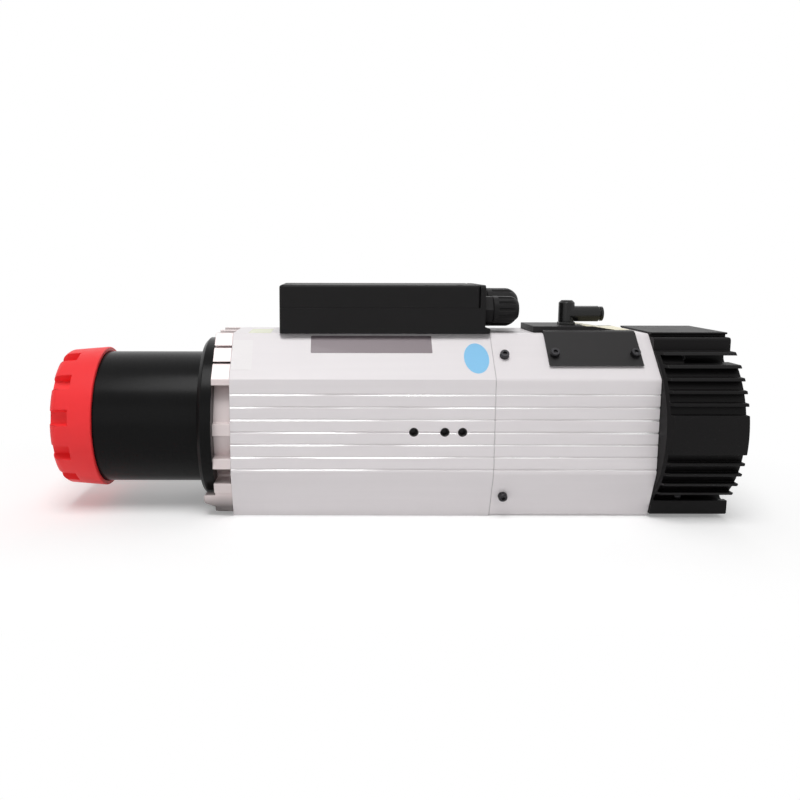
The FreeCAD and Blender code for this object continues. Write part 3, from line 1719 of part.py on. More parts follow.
def fitting_elbow():
    """The swivelling elbow with its tube socket towards the fan."""
    x = fitting_position
    z0 = elbow_base()
    z1 = pad_top + elbow_height
    profile = [
        (0, z0),
        (elbow_radius, z0),
        (elbow_radius, z1 - elbow_top_chamfer),
        (elbow_radius - elbow_top_chamfer, z1),
        (0, z1),
    ]
    upright = turned_about_z(profile, x, 0)
    zb = branch_height()
    end = x + elbow_branch_length
    branch = rod(x, end, elbow_radius, 0, zb)
    neck_room = elbow_radius - elbow_wall + sliding_fit
    top_of_neck = pad_top + stem_hex_height + elbow_height / 2 + running_gap
    well = Part.makeCylinder(neck_room, top_of_neck - z0, Vector(x, 0, z0))
    socket = rod(end - tube_socket_length, end, tube_radius, 0, zb)
    sleeve_end = end - collar_sleeve_length - collar_travel - running_gap
    collar_room = rod(sleeve_end, end, collar_sleeve_radius + sliding_fit, 0, zb)
    way = rod(x, end, stem_bore_radius, 0, zb)
    return fused([upright, branch]).cut([well, socket, collar_room, way])


def release_collar():
    """The push-in collar that frees the tube."""
    zb = branch_height()
    end = fitting_position + elbow_branch_length
    flange_start = end + collar_travel + running_gap
    sleeve = rod(end - collar_sleeve_length, flange_start, collar_sleeve_radius, 0, zb)
    flange = rod(flange_start, flange_start + collar_flange_length, collar_flange_radius, 0, zb)
    bore = rod(end - collar_sleeve_length, flange_start + collar_flange_length, tube_radius, 0, zb)
    return fused([sleeve, flange]).cut(bore)


# Protective cap

def nose_cap():
    """The push-on cap over the nose, with a toothed front edge for the fingers."""
    inner_step = nose_front - running_gap
    inner_small = cap_grip_inner_radius - cap_inner_gap
    inner_face = cap_front_face + cap_front_wall
    centre_x = cap_tip + cap_edge_radius
    centre_radius = cap_front_radius - cap_edge_radius
    diagonal = cap_edge_radius / math.sqrt(2)
    curve_start = Vector(centre_x, 0, cap_front_radius)
    curve_end = Vector(cap_tip, 0, centre_radius)
    curve_middle = Vector(centre_x - diagonal, 0, centre_radius + diagonal)
    outline = [
        Vector(cap_tip, 0, cap_grip_inner_radius - cap_tooth_rounding),
        Vector(cap_front_face, 0, cap_grip_inner_radius - cap_tooth_rounding - cap_grip_draft),
        Vector(cap_front_face, 0, 0),
        Vector(inner_face, 0, 0),
        Vector(inner_face, 0, inner_small),
        Vector(inner_step, 0, inner_small),
        Vector(inner_step, 0, cap_inner_radius),
        Vector(cap_rim, 0, cap_inner_radius),
        Vector(cap_rim, 0, cap_rim_radius - cap_rim_edge),
        Vector(cap_rim - cap_rim_edge, 0, cap_rim_radius),
        curve_start,
    ]
    edges = [Part.makeLine(a, b) for a, b in zip(outline, outline[1:])]
    edges.append(Part.Arc(curve_start, curve_middle, curve_end).toShape())
    edges.append(Part.makeLine(curve_end, outline[0]))
    body = Part.Face(Part.Wire(edges)).revolve(Vector(0, 0, 0), Vector(1, 0, 0), 360)
    half = cap_notch_width / 2
    far = 2 * cap_rim_radius
    wide = half + (far - cap_grip_inner_radius) * math.tan(math.radians(cap_notch_flare))
    corners = [
        Vector(cap_tip, cap_grip_inner_radius, -half),
        Vector(cap_tip, cap_grip_inner_radius, half),
        Vector(cap_tip, far, wide),
        Vector(cap_tip, far, -wide),
    ]
    notch = Part.Face(Part.makePolygon(corners + corners[:1])).extrude(Vector(cap_notch_length, 0, 0))
    return body.cut(repeated(notch, cap_notch_count, cap_notch_phase))


NODES = {
    "motor_shell": motor_shell,
    "front_bracket": front_bracket,
    "nose_housing": nose_housing,
    "flange_screws": flange_screws,
    "bearing_retainer": bearing_retainer,
    "end_shield": end_shield,
    "rear_shell": rear_shell,
    "rear_shell_screws": rear_shell_screws,
    "stator_core": stator_core,
    "stator_windings": stator_windings,
    "rotor_core": rotor_core,
    "rotor_end_rings": rotor_end_rings,
    "bearing_outer_rings": bearing_outer_rings,
    "bearing_inner_rings": bearing_inner_rings,
    "bearing_balls": bearing_balls,
    "bearing_cages": bearing_cages,
    "outer_spacer": outer_spacer,
    "inner_spacer": inner_spacer,
    "spindle_shaft": spindle_shaft,
    "drive_keys": drive_keys,
    "front_locknut": front_locknut,
    "rear_locknut": rear_locknut,
    "sensor_ring": sensor_ring,
    "drawbar": drawbar,
    "drawbar_nut": drawbar_nut,
    "gripper": gripper,
    "disc_springs": disc_springs,
    "cylinder_standoffs": cylinder_standoffs,
    "cylinder_body": cylinder_body,
    "cylinder_cover": cylinder_cover,
    "cylinder_screws": cylinder_screws,
    "piston": piston,
    "piston_seal": piston_seal,
    "piston_return_springs": piston_return_springs,
    "air_inlet_block": air_inlet_block,
    "sensor_bracket": sensor_bracket,
    "tool_sensors": tool_sensors,
    "fan_cover": fan_cover,
    "fan_cover_screws": fan_cover_screws,
    "fan_guard": fan_guard,
    "fan_motor": fan_motor,
    "fan_impeller": fan_impeller,
    "junction_box_base": junction_box_base,
    "junction_box_gasket": junction_box_gasket,
    "junction_box_lid": junction_box_lid,
    "junction_box_screws": junction_box_screws,
    "terminal_block": terminal_block,
    "power_gland_body": power_gland_body,
    "power_gland_nut": power_gland_nut,
    "signal_gland_body": signal_gland_body,
    "signal_gland_nut": signal_gland_nut,
    "gland_locknuts": gland_locknuts,
    "access_cover": access_cover,
    "access_cover_screws": access_cover_screws,
    "fitting_stem": fitting_stem,
    "fitting_elbow": fitting_elbow,
    "release_collar": release_collar,
    "nose_cap": nose_cap,
}


def export_all():
    """Build every node and write it above the mounting face."""
    os.makedirs("parts", exist_ok=True)
    for name, build in NODES.items():
        shape = build()
        shape.translate(Vector(0, 0, axis_height))
        shape.exportStep(os.path.join("parts", name + ".step"))


export_all()
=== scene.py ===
import logging
import math
from dataclasses import dataclass
from enum import Enum
from typing import Any, Callable, Sequence, Union

import bmesh
import bpy
from mathutils import Matrix, Vector


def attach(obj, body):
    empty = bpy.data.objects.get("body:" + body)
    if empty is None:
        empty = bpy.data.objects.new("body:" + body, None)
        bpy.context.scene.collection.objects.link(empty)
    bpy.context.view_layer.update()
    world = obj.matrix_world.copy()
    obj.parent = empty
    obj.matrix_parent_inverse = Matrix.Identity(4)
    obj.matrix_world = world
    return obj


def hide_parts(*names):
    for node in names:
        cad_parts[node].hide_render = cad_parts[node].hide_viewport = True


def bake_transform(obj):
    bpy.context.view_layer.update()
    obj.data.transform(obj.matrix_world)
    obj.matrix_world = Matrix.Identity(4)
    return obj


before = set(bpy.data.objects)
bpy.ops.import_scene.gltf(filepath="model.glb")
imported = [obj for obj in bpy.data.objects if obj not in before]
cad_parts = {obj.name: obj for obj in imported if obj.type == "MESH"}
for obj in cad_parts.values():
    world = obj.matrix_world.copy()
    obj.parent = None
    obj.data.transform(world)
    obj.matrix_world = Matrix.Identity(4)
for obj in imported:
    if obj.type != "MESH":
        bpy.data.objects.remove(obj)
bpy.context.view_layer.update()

logging.basicConfig(level=logging.INFO, format="%(name)s: %(message)s")
LOG = logging.getLogger("motor_spindle")

MM = 0.001
AXIS = Vector((0.0, 0.0, 70.0 * MM))
ALONG = Vector((1.0, 0.0, 0.0))
Colour = tuple[float, float, float]
Point = tuple[float, float, float]
Extent = tuple[float, float, float, float]
Seats = list[tuple[Vector, Vector]]


class Body(Enum):
    """The moving bodies that a piece can ride on."""

    CASING = "casing"
    SPINDLE = "spindle"
    BALLS = "ball_sets"
    DRAWBAR = "drawbar_unit"
    PISTON = "piston_unit"
    FAN = "fan_rotor"
    ELBOW = "elbow"
    COLLAR = "collar"
    CAP = "cap"


class Marks(Enum):
    """How tool marks or grain run over a surface."""

    TURNED = "turned"
    MILLED = "milled"
    CAST = "cast"


# Node trees


class Maths:
    """A number socket in an expression; each operator adds its Math node."""

    def __init__(self, kit: "NodeKit", socket: bpy.types.NodeSocket) -> None:
        self.kit = kit
        self.socket = socket

    def _with(self, operation: str, first: Any, second: Any = None) -> "Maths":
        """Adds one Math node.

        Args:
            operation: The Math node's operation.
            first: The first operand.
            second: The second operand, if the operation has one.

        Returns:
            The node's result.
        """
        values = {0: first} if second is None else {0: first, 1: second}
        return self.kit.number(self.kit.add("ShaderNodeMath", {"operation": operation}, values))

    def __add__(self, other: Any) -> "Maths":
        """Sum."""
        return self._with("ADD", self, other)

    def __radd__(self, other: Any) -> "Maths":
        """Sum with the socket on the right."""
        return self._with("ADD", other, self)

    def __sub__(self, other: Any) -> "Maths":
        """Difference."""
        return self._with("SUBTRACT", self, other)

    def __rsub__(self, other: Any) -> "Maths":
        """Difference with the socket on the right."""
        return self._with("SUBTRACT", other, self)

    def __mul__(self, other: Any) -> "Maths":
        """Product."""
        return self._with("MULTIPLY", self, other)

    def __rmul__(self, other: Any) -> "Maths":
        """Product with the socket on the right."""
        return self._with("MULTIPLY", other, self)

    def __gt__(self, other: Any) -> "Maths":
        """One where the left side is greater, else zero."""
        return self._with("GREATER_THAN", self, other)

    def __lt__(self, other: Any) -> "Maths":
        """One where the left side is smaller, else zero."""
        return self._with("LESS_THAN", self, other)

    def __abs__(self) -> "Maths":
        """Size without its sign."""
        return self._with("ABSOLUTE", self)

    def sine(self) -> "Maths":
        """Sine of an angle in radians."""
        return self._with("SINE", self)

    def floor(self) -> "Maths":
        """The whole number below."""
        return self._with("FLOOR", self)

    def root(self) -> "Maths":
        """Square root."""
        return self._with("SQRT", self)


Value = Union[float, int, bool, str, Sequence[float], bpy.types.NodeSocket, Maths]


class NodeKit:
    """A node tree with one method that adds any node."""

    def __init__(self, tree: bpy.types.NodeTree) -> None:
        """Wraps a tree."""
        self.tree = tree

    def add(
        self, kind: str, settings: dict[str, Any] | None = None, values: dict[Any, Value] | None = None,
    ) -> bpy.types.Node:
        """Adds a node.

        Args:
            kind: The node's type.
            settings: Properties that are set before its sockets.
            values: Constants or links by socket name or number.

        Returns:
            The new node.
        """
        node = self.tree.nodes.new(kind)
        for name, value in (settings or {}).items():
            setattr(node, name, value)
        for key, value in (values or {}).items():
            self._feed(node.inputs[key], value)
        return node

    def _feed(self, socket: bpy.types.NodeSocket, value: Value) -> None:
        """Links a socket or sets its constant.

        Args:
            socket: The input.
            value: A link or a constant.
        """
        if isinstance(value, Maths):
            value = value.socket
        if isinstance(value, bpy.types.NodeSocket):
            self.tree.links.new(value, socket)
        else:
            socket.default_value = value

    def number(self, node: bpy.types.Node, output: Any = 0) -> Maths:
        """A node's output, ready for an expression."""
        return Maths(self, node.outputs[output])


class SurfaceGraph(NodeKit):
    """One material's shader tree, with the patterns that the finishes share."""

    def __init__(self, name: str) -> None:
        """Makes the material and its output.

        Args:
            name: The material's name.
        """
        self.material = bpy.data.materials.new(name)
        self.material.use_nodes = True
        super().__init__(self.material.node_tree)
        self.tree.nodes.clear()
        self.output = self.add("ShaderNodeOutputMaterial")
        self.place = self.add("ShaderNodeTexCoord").outputs["Object"]

    def noise(
        self, scale: float, detail: float = 3.0, stretch: Point = (1.0, 1.0, 1.0), roughness: float = 0.5,
    ) -> Maths:
        """Soft noise about one half.

        Args:
            scale: Repeats per metre.
            detail: The number of octaves.
            stretch: The scale along each axis.
            roughness: The share of the fine octaves.

        Returns:
            The noise value.
        """
        place = self.add("ShaderNodeMapping", None, {"Vector": self.place, "Scale": stretch}).outputs[0]
        values = {"Vector": place, "Scale": scale, "Detail": detail, "Roughness": roughness}
        return self.number(self.add("ShaderNodeTexNoise", None, values))

    def separate(self) -> tuple[Maths, Maths, Maths]:
        """The place's three coordinates."""
        node = self.add("ShaderNodeSeparateXYZ", None, {0: self.place})
        return self.number(node, 0), self.number(node, 1), self.number(node, 2)

    def clamped(self, value: Value) -> Maths:
        """A value kept between nought and one."""
        return self.number(self.add("ShaderNodeClamp", None, {0: value}))

    def radius(self) -> Maths:
        """The distance from the spindle axis, in metres.

        Returns:
            The distance value.
        """
        _, y, z = self.separate()
        rise = z - AXIS.z
        return (y * y + rise * rise).root()

    def blend(self, factor: Value, first: Value, second: Value) -> bpy.types.NodeSocket:
        """A colour between two colours.

        Args:
            factor: Nought for the first and one for the second.
            first: A colour.
            second: A colour.

        Returns:
            The colour socket.
        """
        settings = {"data_type": "RGBA", "blend_type": "MIX"}
        node = self.add("ShaderNodeMix", settings, {0: factor, 6: _rgba(first), 7: _rgba(second)})
        return node.outputs[2]

    def varied(self, factor: Value, colour: Colour, share: float) -> bpy.types.NodeSocket:
        """A colour that a pattern makes darker or lighter by a share."""
        return self.blend(factor, _shade(colour, 1 - share), _shade(colour, 1 + share))

    @staticmethod
    def uneven(middle: float, spread: float, pattern: Maths) -> Maths:
        """A value that a pattern takes from a spread below its middle to a spread above it."""
        return middle - spread + 2 * spread * pattern

    def bump(self, height: Value, distance: float) -> bpy.types.NodeSocket:
        """A surface normal that follows a height of the given range, in metres."""
        return self.add("ShaderNodeBump", None, {"Height": height, "Distance": distance}).outputs["Normal"]

    def finish(self, values: dict[str, Value]) -> bpy.types.Material:
        """Adds the surface shader and closes the material.

        Args:
            values: The shader's inputs by name.

        Returns:
            The material.
        """
        if isinstance(values.get("Base Color"), tuple):
            values["Base Color"] = _rgba(values["Base Color"])
        shader = self.add("ShaderNodeBsdfPrincipled", None, values)
        self.tree.links.new(shader.outputs["BSDF"], self.output.inputs["Surface"])
        return self.material


class ShapeGraph(NodeKit):
    """A Geometry Nodes tree with named inputs, which sets an object on points."""

    INPUTS = (
        ("Geometry", "NodeSocketGeometry"),
        ("Shape", "NodeSocketObject"),
        ("Material", "NodeSocketMaterial"),
        ("Scale", "NodeSocketFloat"),
        ("Turn", "NodeSocketFloat"),
    )

    def __init__(self, name: str) -> None:
        """Makes the tree with its inputs: places, shape, material, scale and largest turn.

        Args:
            name: The tree's name.
        """
        super().__init__(bpy.data.node_groups.new(name, "GeometryNodeTree"))
        face = self.tree.interface
        for label, kind in self.INPUTS:
            face.new_socket(label, in_out="INPUT", socket_type=kind)
        face.new_socket("Geometry", in_out="OUTPUT", socket_type="NodeSocketGeometry")
        self.entry = self.add("NodeGroupInput")

    def given(self, name: str) -> bpy.types.NodeSocket:
        """One of the tree's inputs."""
        return self.entry.outputs[name]

    def close(self, geometry: Value) -> bpy.types.NodeTree:
        """Ends the tree with real geometry in the given material.

        Args:
            geometry: The instances.

        Returns:
            The tree.
        """
        real = self.add("GeometryNodeRealizeInstances", None, {"Geometry": geometry})
        values = {"Geometry": real.outputs[0], "Material": self.given("Material")}
        dressed = self.add("GeometryNodeSetMaterial", None, values)
        self.add("NodeGroupOutput", None, {"Geometry": dressed.outputs[0]})
        return self.tree


def _rgba(value: Value) -> Value:
    """A colour with its alpha, or the socket as it is."""
    return (*value, 1.0) if isinstance(value, tuple) and len(value) == 3 else value


def _shade(colour: Colour, share: float) -> Colour:
    """A colour made darker or lighter by a share."""
    return tuple(min(1.0, channel * share) for channel in colour)


# Finishes


@dataclass(frozen=True)
class Coating:
    """Powder coat on metal: a fine orange peel, slight mottling, and soft dust."""

    name: str
    colour: Colour
    roughness: float = 0.42
    peel: float = 0.00004
    peel_scale: float = 900.0
    mottle: float = 0.04
    metallic: float = 0.0
    specular: float = 0.5
    mottle_scale: float = 14.0
    wear: float = 0.06
    wear_scale: float = 60.0

    def material(self) -> bpy.types.Material:
        """Builds the material.

        Returns:
            The material.
        """
        graph = SurfaceGraph(self.name)
        return graph.finish({
            "Base Color": graph.varied(graph.noise(self.mottle_scale, 2.0), self.colour, self.mottle),
            "Roughness": graph.uneven(self.roughness, self.wear, graph.noise(self.wear_scale)),
            "Metallic": self.metallic,
            "Specular IOR Level": self.specular,
            "Normal": graph.bump(graph.noise(self.peel_scale, 2.0), self.peel),
        })


@dataclass(frozen=True)
class ShellCoat:
    """The casing's coat: clean, with painted highlights on bare groove edges, a darker seam and painted shade
    in its tapped holes.
    """

    name: str
    colour: Colour
    roughness: float = 0.4
    specular: float = 0.4
    groove_top: float = 97.0 * MM
    groove_pitch: float = 9.5 * MM
    groove_count: int = 7
    lip: float = 0.6 * MM
    lip_below: float = 0.5 * MM
    seam: float = 98.5 * MM
    seam_width: float = 0.45 * MM
    hole_places: tuple[tuple[float, float], ...] = ((38.3, 68.5), (61.5, 68.5), (74.7, 68.5))
    hole_radius: float = 3.45 * MM
    hole_span: tuple[float, float] = (-56.38 * MM, -30.0 * MM)
    # Near-black painted shade for the inside of the tapped holes.
    hole_shade: Colour = (0.03, 0.028, 0.027)
    side: float = 56.3 * MM
    patch_scale: float = 11.0
    patch_stretch: Point = (1.0, 40.0, 40.0)
    patch_from: float = 0.43
    patch_gain: float = 7.0
    streak_scale: float = 7.0
    streak_stretch: Point = (1.0, 30.0, 30.0)
    wear: float = 0.04
    wear_scale: float = 60.0
    lip_polish: float = 0.15
    peel: float = 0.00002
    peel_scale: float = 1400.0

    def _lip_highlight_mask(self, graph: SurfaceGraph) -> Maths:
        """One along the lower edge of each groove, where the highlight is painted, broken into patches.

        Args:
            graph: The material's tree.

        Returns:
            The painted highlight's share.
        """
        _, y, z = graph.separate()
        down = (self.groove_top + 0.5 * self.groove_pitch - z) * (1.0 / self.groove_pitch)
        row = down.floor()
        off = abs(z - (self.groove_top - self.lip_below) + row * self.groove_pitch)
        line = graph.clamped(3.0 - off * (3.0 / self.lip))
        inside = (row > -0.5) * (row < self.groove_count - 0.5)
        cloud = graph.noise(self.patch_scale, 2.0, self.patch_stretch)
        patches = graph.clamped((cloud - self.patch_from) * self.patch_gain)
        return line * inside * patches * (abs(y) > self.side)

    def _hole_shade_mask(self, graph: SurfaceGraph) -> Maths:
        """One inside the tapped holes, where shade is painted.

        Args:
            graph: The material's tree.

        Returns:
            The share of painted shade.
        """
        x, y, z = graph.separate()
        total = None
        for place_x, place_z in self.hole_places:
            dx, dz = x - place_x * MM, z - place_z * MM
            near = (dx * dx + dz * dz).root() < self.hole_radius
            total = near if total is None else total + near
        return total * (y > self.hole_span[0]) * (y < self.hole_span[1])

    def material(self) -> bpy.types.Material:
        """Builds the material.

        Returns:
            The material.
        """
        graph = SurfaceGraph(self.name)
        x, _, _ = graph.separate()
        lip_highlight = self._lip_highlight_mask(graph)
        streaks = graph.noise(self.streak_scale, 3.0, self.streak_stretch)
        base = graph.blend(streaks, _shade(self.colour, 0.97), _shade(self.colour, 1.02))
        # Painted highlight: the lower groove edges are whitened in patches, and also made metallic and smoother
        # so they reflect the surroundings.
        lip_highlighted = graph.blend(lip_highlight, base, (1.0, 1.0, 1.0))
        seam = 1.0 - graph.clamped(abs(x - self.seam) * (1.0 / self.seam_width))
        seamed = graph.blend(0.6 * seam, lip_highlighted, _shade(self.colour, 0.3))
        # Painted shade: the inside of the tapped holes is coloured near black.
        hole_shaded = graph.blend(self._hole_shade_mask(graph), seamed, self.hole_shade)
        worn = graph.uneven(self.roughness, self.wear, graph.noise(self.wear_scale))
        return graph.finish({
            "Base Color": hole_shaded,
            "Roughness": worn - self.lip_polish * lip_highlight,
            "Metallic": 0.85 * lip_highlight,
            "Specular IOR Level": self.specular,
            "Normal": graph.bump(graph.noise(self.peel_scale, 2.0), self.peel),
        })


@dataclass(frozen=True)
class Moulded:
    """Moulded plastic with a spark-eroded grain and faint flow marks."""

    name: str
    colour: Colour
    roughness: float = 0.5
    grain: float = 0.00003
    grain_scale: float = 2600.0
    variation: float = 0.08
    specular: float = 0.5
    flow_scale: float = 18.0
    flow_stretch: Point = (1.0, 3.0, 3.0)
    wear: float = 0.07
    wear_scale: float = 140.0

    def material(self) -> bpy.types.Material:
        """Builds the material.

        Returns:
            The material.
        """
        graph = SurfaceGraph(self.name)
        flow = graph.noise(self.flow_scale, 2.0, self.flow_stretch)
        return graph.finish({
            "Base Color": graph.varied(flow, self.colour, self.variation),
            "Roughness": graph.uneven(self.roughness, self.wear, graph.noise(self.wear_scale)),
            "Specular IOR Level": self.specular,
            "Normal": graph.bump(graph.noise(self.grain_scale, 1.0), self.grain),
        })


@dataclass(frozen=True)
class Machined:
    """Cut metal whose tool marks are rings, straight strokes or a cast skin."""

    name: str
    colour: Colour
    marks: Marks
    roughness: float = 0.34
    metallic: float = 1.0
    mark_height: float = 0.000012
    tint: float = 0.08
    specular: float = 0.5
    # Painted shade: below this height the colour darkens towards the bottom.
    painted_shade_below: float = -1.0
    painted_shade_share: float = 0.2
    painted_shade_fade: float = 9.0 * MM
    ring_rate: float = 9000.0
    ring_wander: float = 2.0
    stroke_scale: float = 6.0
    stroke_stretch: Point = (900.0, 40.0, 40.0)
    skin_scale: float = 420.0
    wear: float = 0.08

    def _pattern(self, graph: SurfaceGraph) -> Maths:
        """The height of the tool marks.

        Args:
            graph: The material's tree.

        Returns:
            The height value.
        """
        if self.marks is Marks.TURNED:
            x, _, _ = graph.separate()
            along = x + graph.radius()
            rings = (along * self.ring_rate + self.ring_wander * graph.noise(90.0, 1.0)).sine()
            return 0.5 + 0.35 * rings + 0.3 * graph.noise(3.0, 3.0, (700.0, 60.0, 60.0))
        if self.marks is Marks.MILLED:
            return graph.noise(self.stroke_scale, 4.0, self.stroke_stretch, 0.7)
        return graph.noise(self.skin_scale, 4.0, roughness=0.65)

    def material(self) -> bpy.types.Material:
        """Builds the material.

        Returns:
            The material.
        """
        graph = SurfaceGraph(self.name)
        pattern = self._pattern(graph)
        broad = graph.noise(30.0, 3.0)
        mix = 0.5 * broad + 0.5 * pattern
        colour = graph.varied(mix, self.colour, self.tint)
        # Painted shade: the colour fades darker towards the bottom.
        if self.painted_shade_below > 0.0:
            _, _, z = graph.separate()
            low = graph.clamped((self.painted_shade_below - z) * (1.0 / self.painted_shade_fade))
            colour = graph.blend(low, colour, _shade(self.colour, self.painted_shade_share))
        return graph.finish({
            "Base Color": colour,
            "Roughness": graph.uneven(self.roughness, self.wear, mix),
            "Metallic": self.metallic,
            "Specular IOR Level": self.specular,
            "Normal": graph.bump(pattern, self.mark_height),
        })


@dataclass(frozen=True)
class Stacked:
    """Thin layers or wires side by side, lighter on their crests, with painted shade in the gaps between them.
    """

    name: str
    colour: Colour
    gap_shade: Colour
    pitch: float
    around: bool = False
    metallic: float = 1.0
    roughness: float = 0.45

    def material(self) -> bpy.types.Material:
        """Builds the material.

        Returns:
            The material.
        """
        graph = SurfaceGraph(self.name)
        x, _, _ = graph.separate()
        along = graph.radius() + 0.35 * x if self.around else x
        crest = 0.5 + 0.5 * (along * (2 * math.pi / self.pitch) + 1.4 * graph.noise(160.0, 2.0)).sine()
        return graph.finish({
            # Painted shade: the troughs between crests take the darker colour.
            "Base Color": graph.blend(crest, self.gap_shade, self.colour),
            "Roughness": self.roughness + 0.2 * (1 - crest),
            "Metallic": self.metallic,
            "Normal": graph.bump(crest, self.pitch / 3),
        })


@dataclass(frozen=True)
class Sheet:
    """Printed paper or foil under a thin clear layer."""

    name: str
    colour: Colour
    roughness: float = 0.45
    metallic: float = 0.0
    coat: float = 0.25
    fibre: float = 0.03
    relief: float = 0.000004
    wear: float = 0.05

    def material(self) -> bpy.types.Material:
        """Builds the material.

        Returns:
            The material.
        """
        graph = SurfaceGraph(self.name)
        strokes = graph.noise(220.0, 3.0, (1.0, 4.0, 4.0))
        cloud = graph.noise(45.0, 2.0)
        mix = 0.6 * strokes + 0.4 * cloud
        return graph.finish({
            "Base Color": graph.varied(mix, self.colour, self.fibre),
            "Roughness": graph.uneven(self.roughness, self.wear, strokes),
            "Metallic": self.metallic,
            "Coat Weight": self.coat,
            "Normal": graph.bump(strokes, self.relief),
        })


Finish = Union[Coating, ShellCoat, Moulded, Machined, Stacked, Sheet]


class Shop:
    """Hands out each finish's material once."""

    def __init__(self) -> None:
        """Starts with nothing made."""
        self.made: dict[str, bpy.types.Material] = {}

    def get(self, finish: Finish) -> bpy.types.Material:
        """The material of a finish.

        Args:
            finish: The finish.

        Returns:
            Its material.
        """
        if finish.name not in self.made:
            self.made[finish.name] = finish.material()
        return self.made[finish.name]


CAP_RED = Moulded("cap_plastic", (0.98, 0.038, 0.043), 0.42, 0.00003, 1500.0, 0.05, 0.25)
NOSE_BLACK = Machined("black_anodised", (0.003, 0.003, 0.0032), Marks.TURNED, 0.24, 0.0, 0.000003, 0.25, 0.1)
# Painted shade on the bracket's lowest 17 mm, round its lower lug.
BRACKET_METAL = Machined(
    "bright_aluminium", (0.78, 0.69, 0.685), Marks.MILLED, 0.48, 0.3, painted_shade_below=17.0 * MM,
)
SHELL_WHITE = ShellCoat("shell_coating", (0.84, 0.80, 0.815))
BARE_ALUMINIUM = Machined("bare_aluminium", (0.72, 0.72, 0.74), Marks.TURNED)
FAN_BLACK = Coating("black_casting", (0.0055, 0.005, 0.0053), 0.45, 0.00008, 1200.0, 0.15, specular=0.13)
COVER_GREY = Coating("cover_paint", (0.016, 0.015, 0.0155), 0.5, 0.00006, 1100.0, 0.1, specular=0.22)
BOX_BLACK = Moulded("box_plastic", (0.0095, 0.009, 0.0093), 0.5, specular=0.14)
FAN_PLASTIC = Moulded("fan_plastic", (0.018, 0.018, 0.018), 0.45)
FITTING_BLACK = Moulded("fitting_plastic", (0.011, 0.011, 0.011), 0.24, 0.00001, specular=0.3)
FITTING_METAL = Coating("fitting_metal", (0.03, 0.03, 0.03), 0.35, 0.00002, 900.0, 0.1, 0.5)
SCREW_STEEL = Machined("screw_steel", (0.035, 0.034, 0.037), Marks.CAST, 0.36, 0.7)
WHITE_PAPER = Sheet("white_label", (0.87, 0.84, 0.845), 0.55, 0.0, 0.05)
GREY_FOIL = Sheet("grey_nameplate", (0.20, 0.165, 0.18), 0.45, 0.1, 0.1)
BLUE_PAPER = Sheet("blue_label", (0.215, 0.56, 0.87))
GREEN_PAPER = Sheet("pale_green_label", (0.80, 0.82, 0.60))
YELLOW_PAPER = Sheet("pale_yellow_label", (0.85, 0.78, 0.52))
TOOL_STEEL = Machined("tool_steel", (0.55, 0.55, 0.57), Marks.TURNED, 0.22)
BEARING_STEEL = Machined("bearing_steel", (0.7, 0.7, 0.72), Marks.TURNED, 0.14, 1.0, 0.000002, 0.03)
CAGE_RESIN = Moulded("cage_resin", (0.45, 0.25, 0.10), 0.5)
LAMINATIONS = Stacked("lamination_steel", (0.34, 0.34, 0.36), (0.10, 0.10, 0.11), 0.0005)
WINDINGS = Stacked("winding_copper", (0.60, 0.24, 0.09), (0.16, 0.05, 0.02), 0.0011, True, 0.7, 0.3)
SEAL_RUBBER = Moulded("seal_rubber", (0.02, 0.02, 0.02), 0.75)
TERMINAL_GREY = Moulded("terminal_plastic", (0.65, 0.65, 0.60), 0.5)


# Meshes


SHARP_DEGREES = 32.0
EDGE_STEPS = 2
NORMAL_WEIGHT = 80
WELD = 0.0000005


def plain_mesh(obj: bpy.types.Object) -> bpy.types.Object:
    """Turns an object's evaluated shape into its own plain mesh and drops its modifiers.

    Args:
        obj: The object.

    Returns:
        The same object.
    """
    graph = bpy.context.evaluated_depsgraph_get()
    shown = obj.evaluated_get(graph)
    mesh = bpy.data.meshes.new_from_object(shown, preserve_all_data_layers=True, depsgraph=graph)
    mesh.name = obj.name
    obj.modifiers.clear()
    obj.data = mesh
    return obj


def new_object(name: str, mesh: bpy.types.Mesh) -> bpy.types.Object:
    """An object at the origin that shows a mesh.

    Args:
        name: Its name.
        mesh: Its mesh.

    Returns:
        The object.
    """
    obj = bpy.data.objects.new(name, mesh)
    bpy.context.scene.collection.objects.link(obj)
    return obj


def baked(name: str, shape: bmesh.types.BMesh) -> bpy.types.Mesh:
    """Writes a working mesh into a new mesh and frees it.

    Args:
        name: The new mesh's name.
        shape: The working mesh.

    Returns:
        The new mesh.
    """
    mesh = bpy.data.meshes.new(name)
    shape.to_mesh(mesh)
    shape.free()
    return mesh


def rounded(obj: bpy.types.Object, width: float) -> bpy.types.Object:
    """Rounds an object's sharp edges.

    Args:
        obj: The object.
        width: The width of the rounding, in metres.

    Returns:
        The same object with a plain mesh.
    """
    bevel = obj.modifiers.new("edges", "BEVEL")
    bevel.width = width
    bevel.segments = EDGE_STEPS
    bevel.limit_method = "ANGLE"
    bevel.angle_limit = math.radians(SHARP_DEGREES)
    bevel.use_clamp_overlap = False
    even = obj.modifiers.new("normals", "WEIGHTED_NORMAL")
    even.weight = NORMAL_WEIGHT
    return plain_mesh(obj)


def grown(obj: bpy.types.Object, tree: bpy.types.NodeTree, values: dict[str, Any]) -> bpy.types.Object:
    """Runs a Geometry Nodes tree on an object and keeps the result as a plain mesh.

    Args:
        obj: The object.
        tree: The tree.
        values: The tree's inputs by name.

    Returns:
        The same object.
    """
    modifier = obj.modifiers.new(tree.name, "NODES")
    modifier.node_group = tree
    for item in tree.interface.items_tree:
        if item.item_type == "SOCKET" and item.in_out == "INPUT" and item.name in values:
            modifier[item.identifier] = values[item.name]
    return plain_mesh(obj)


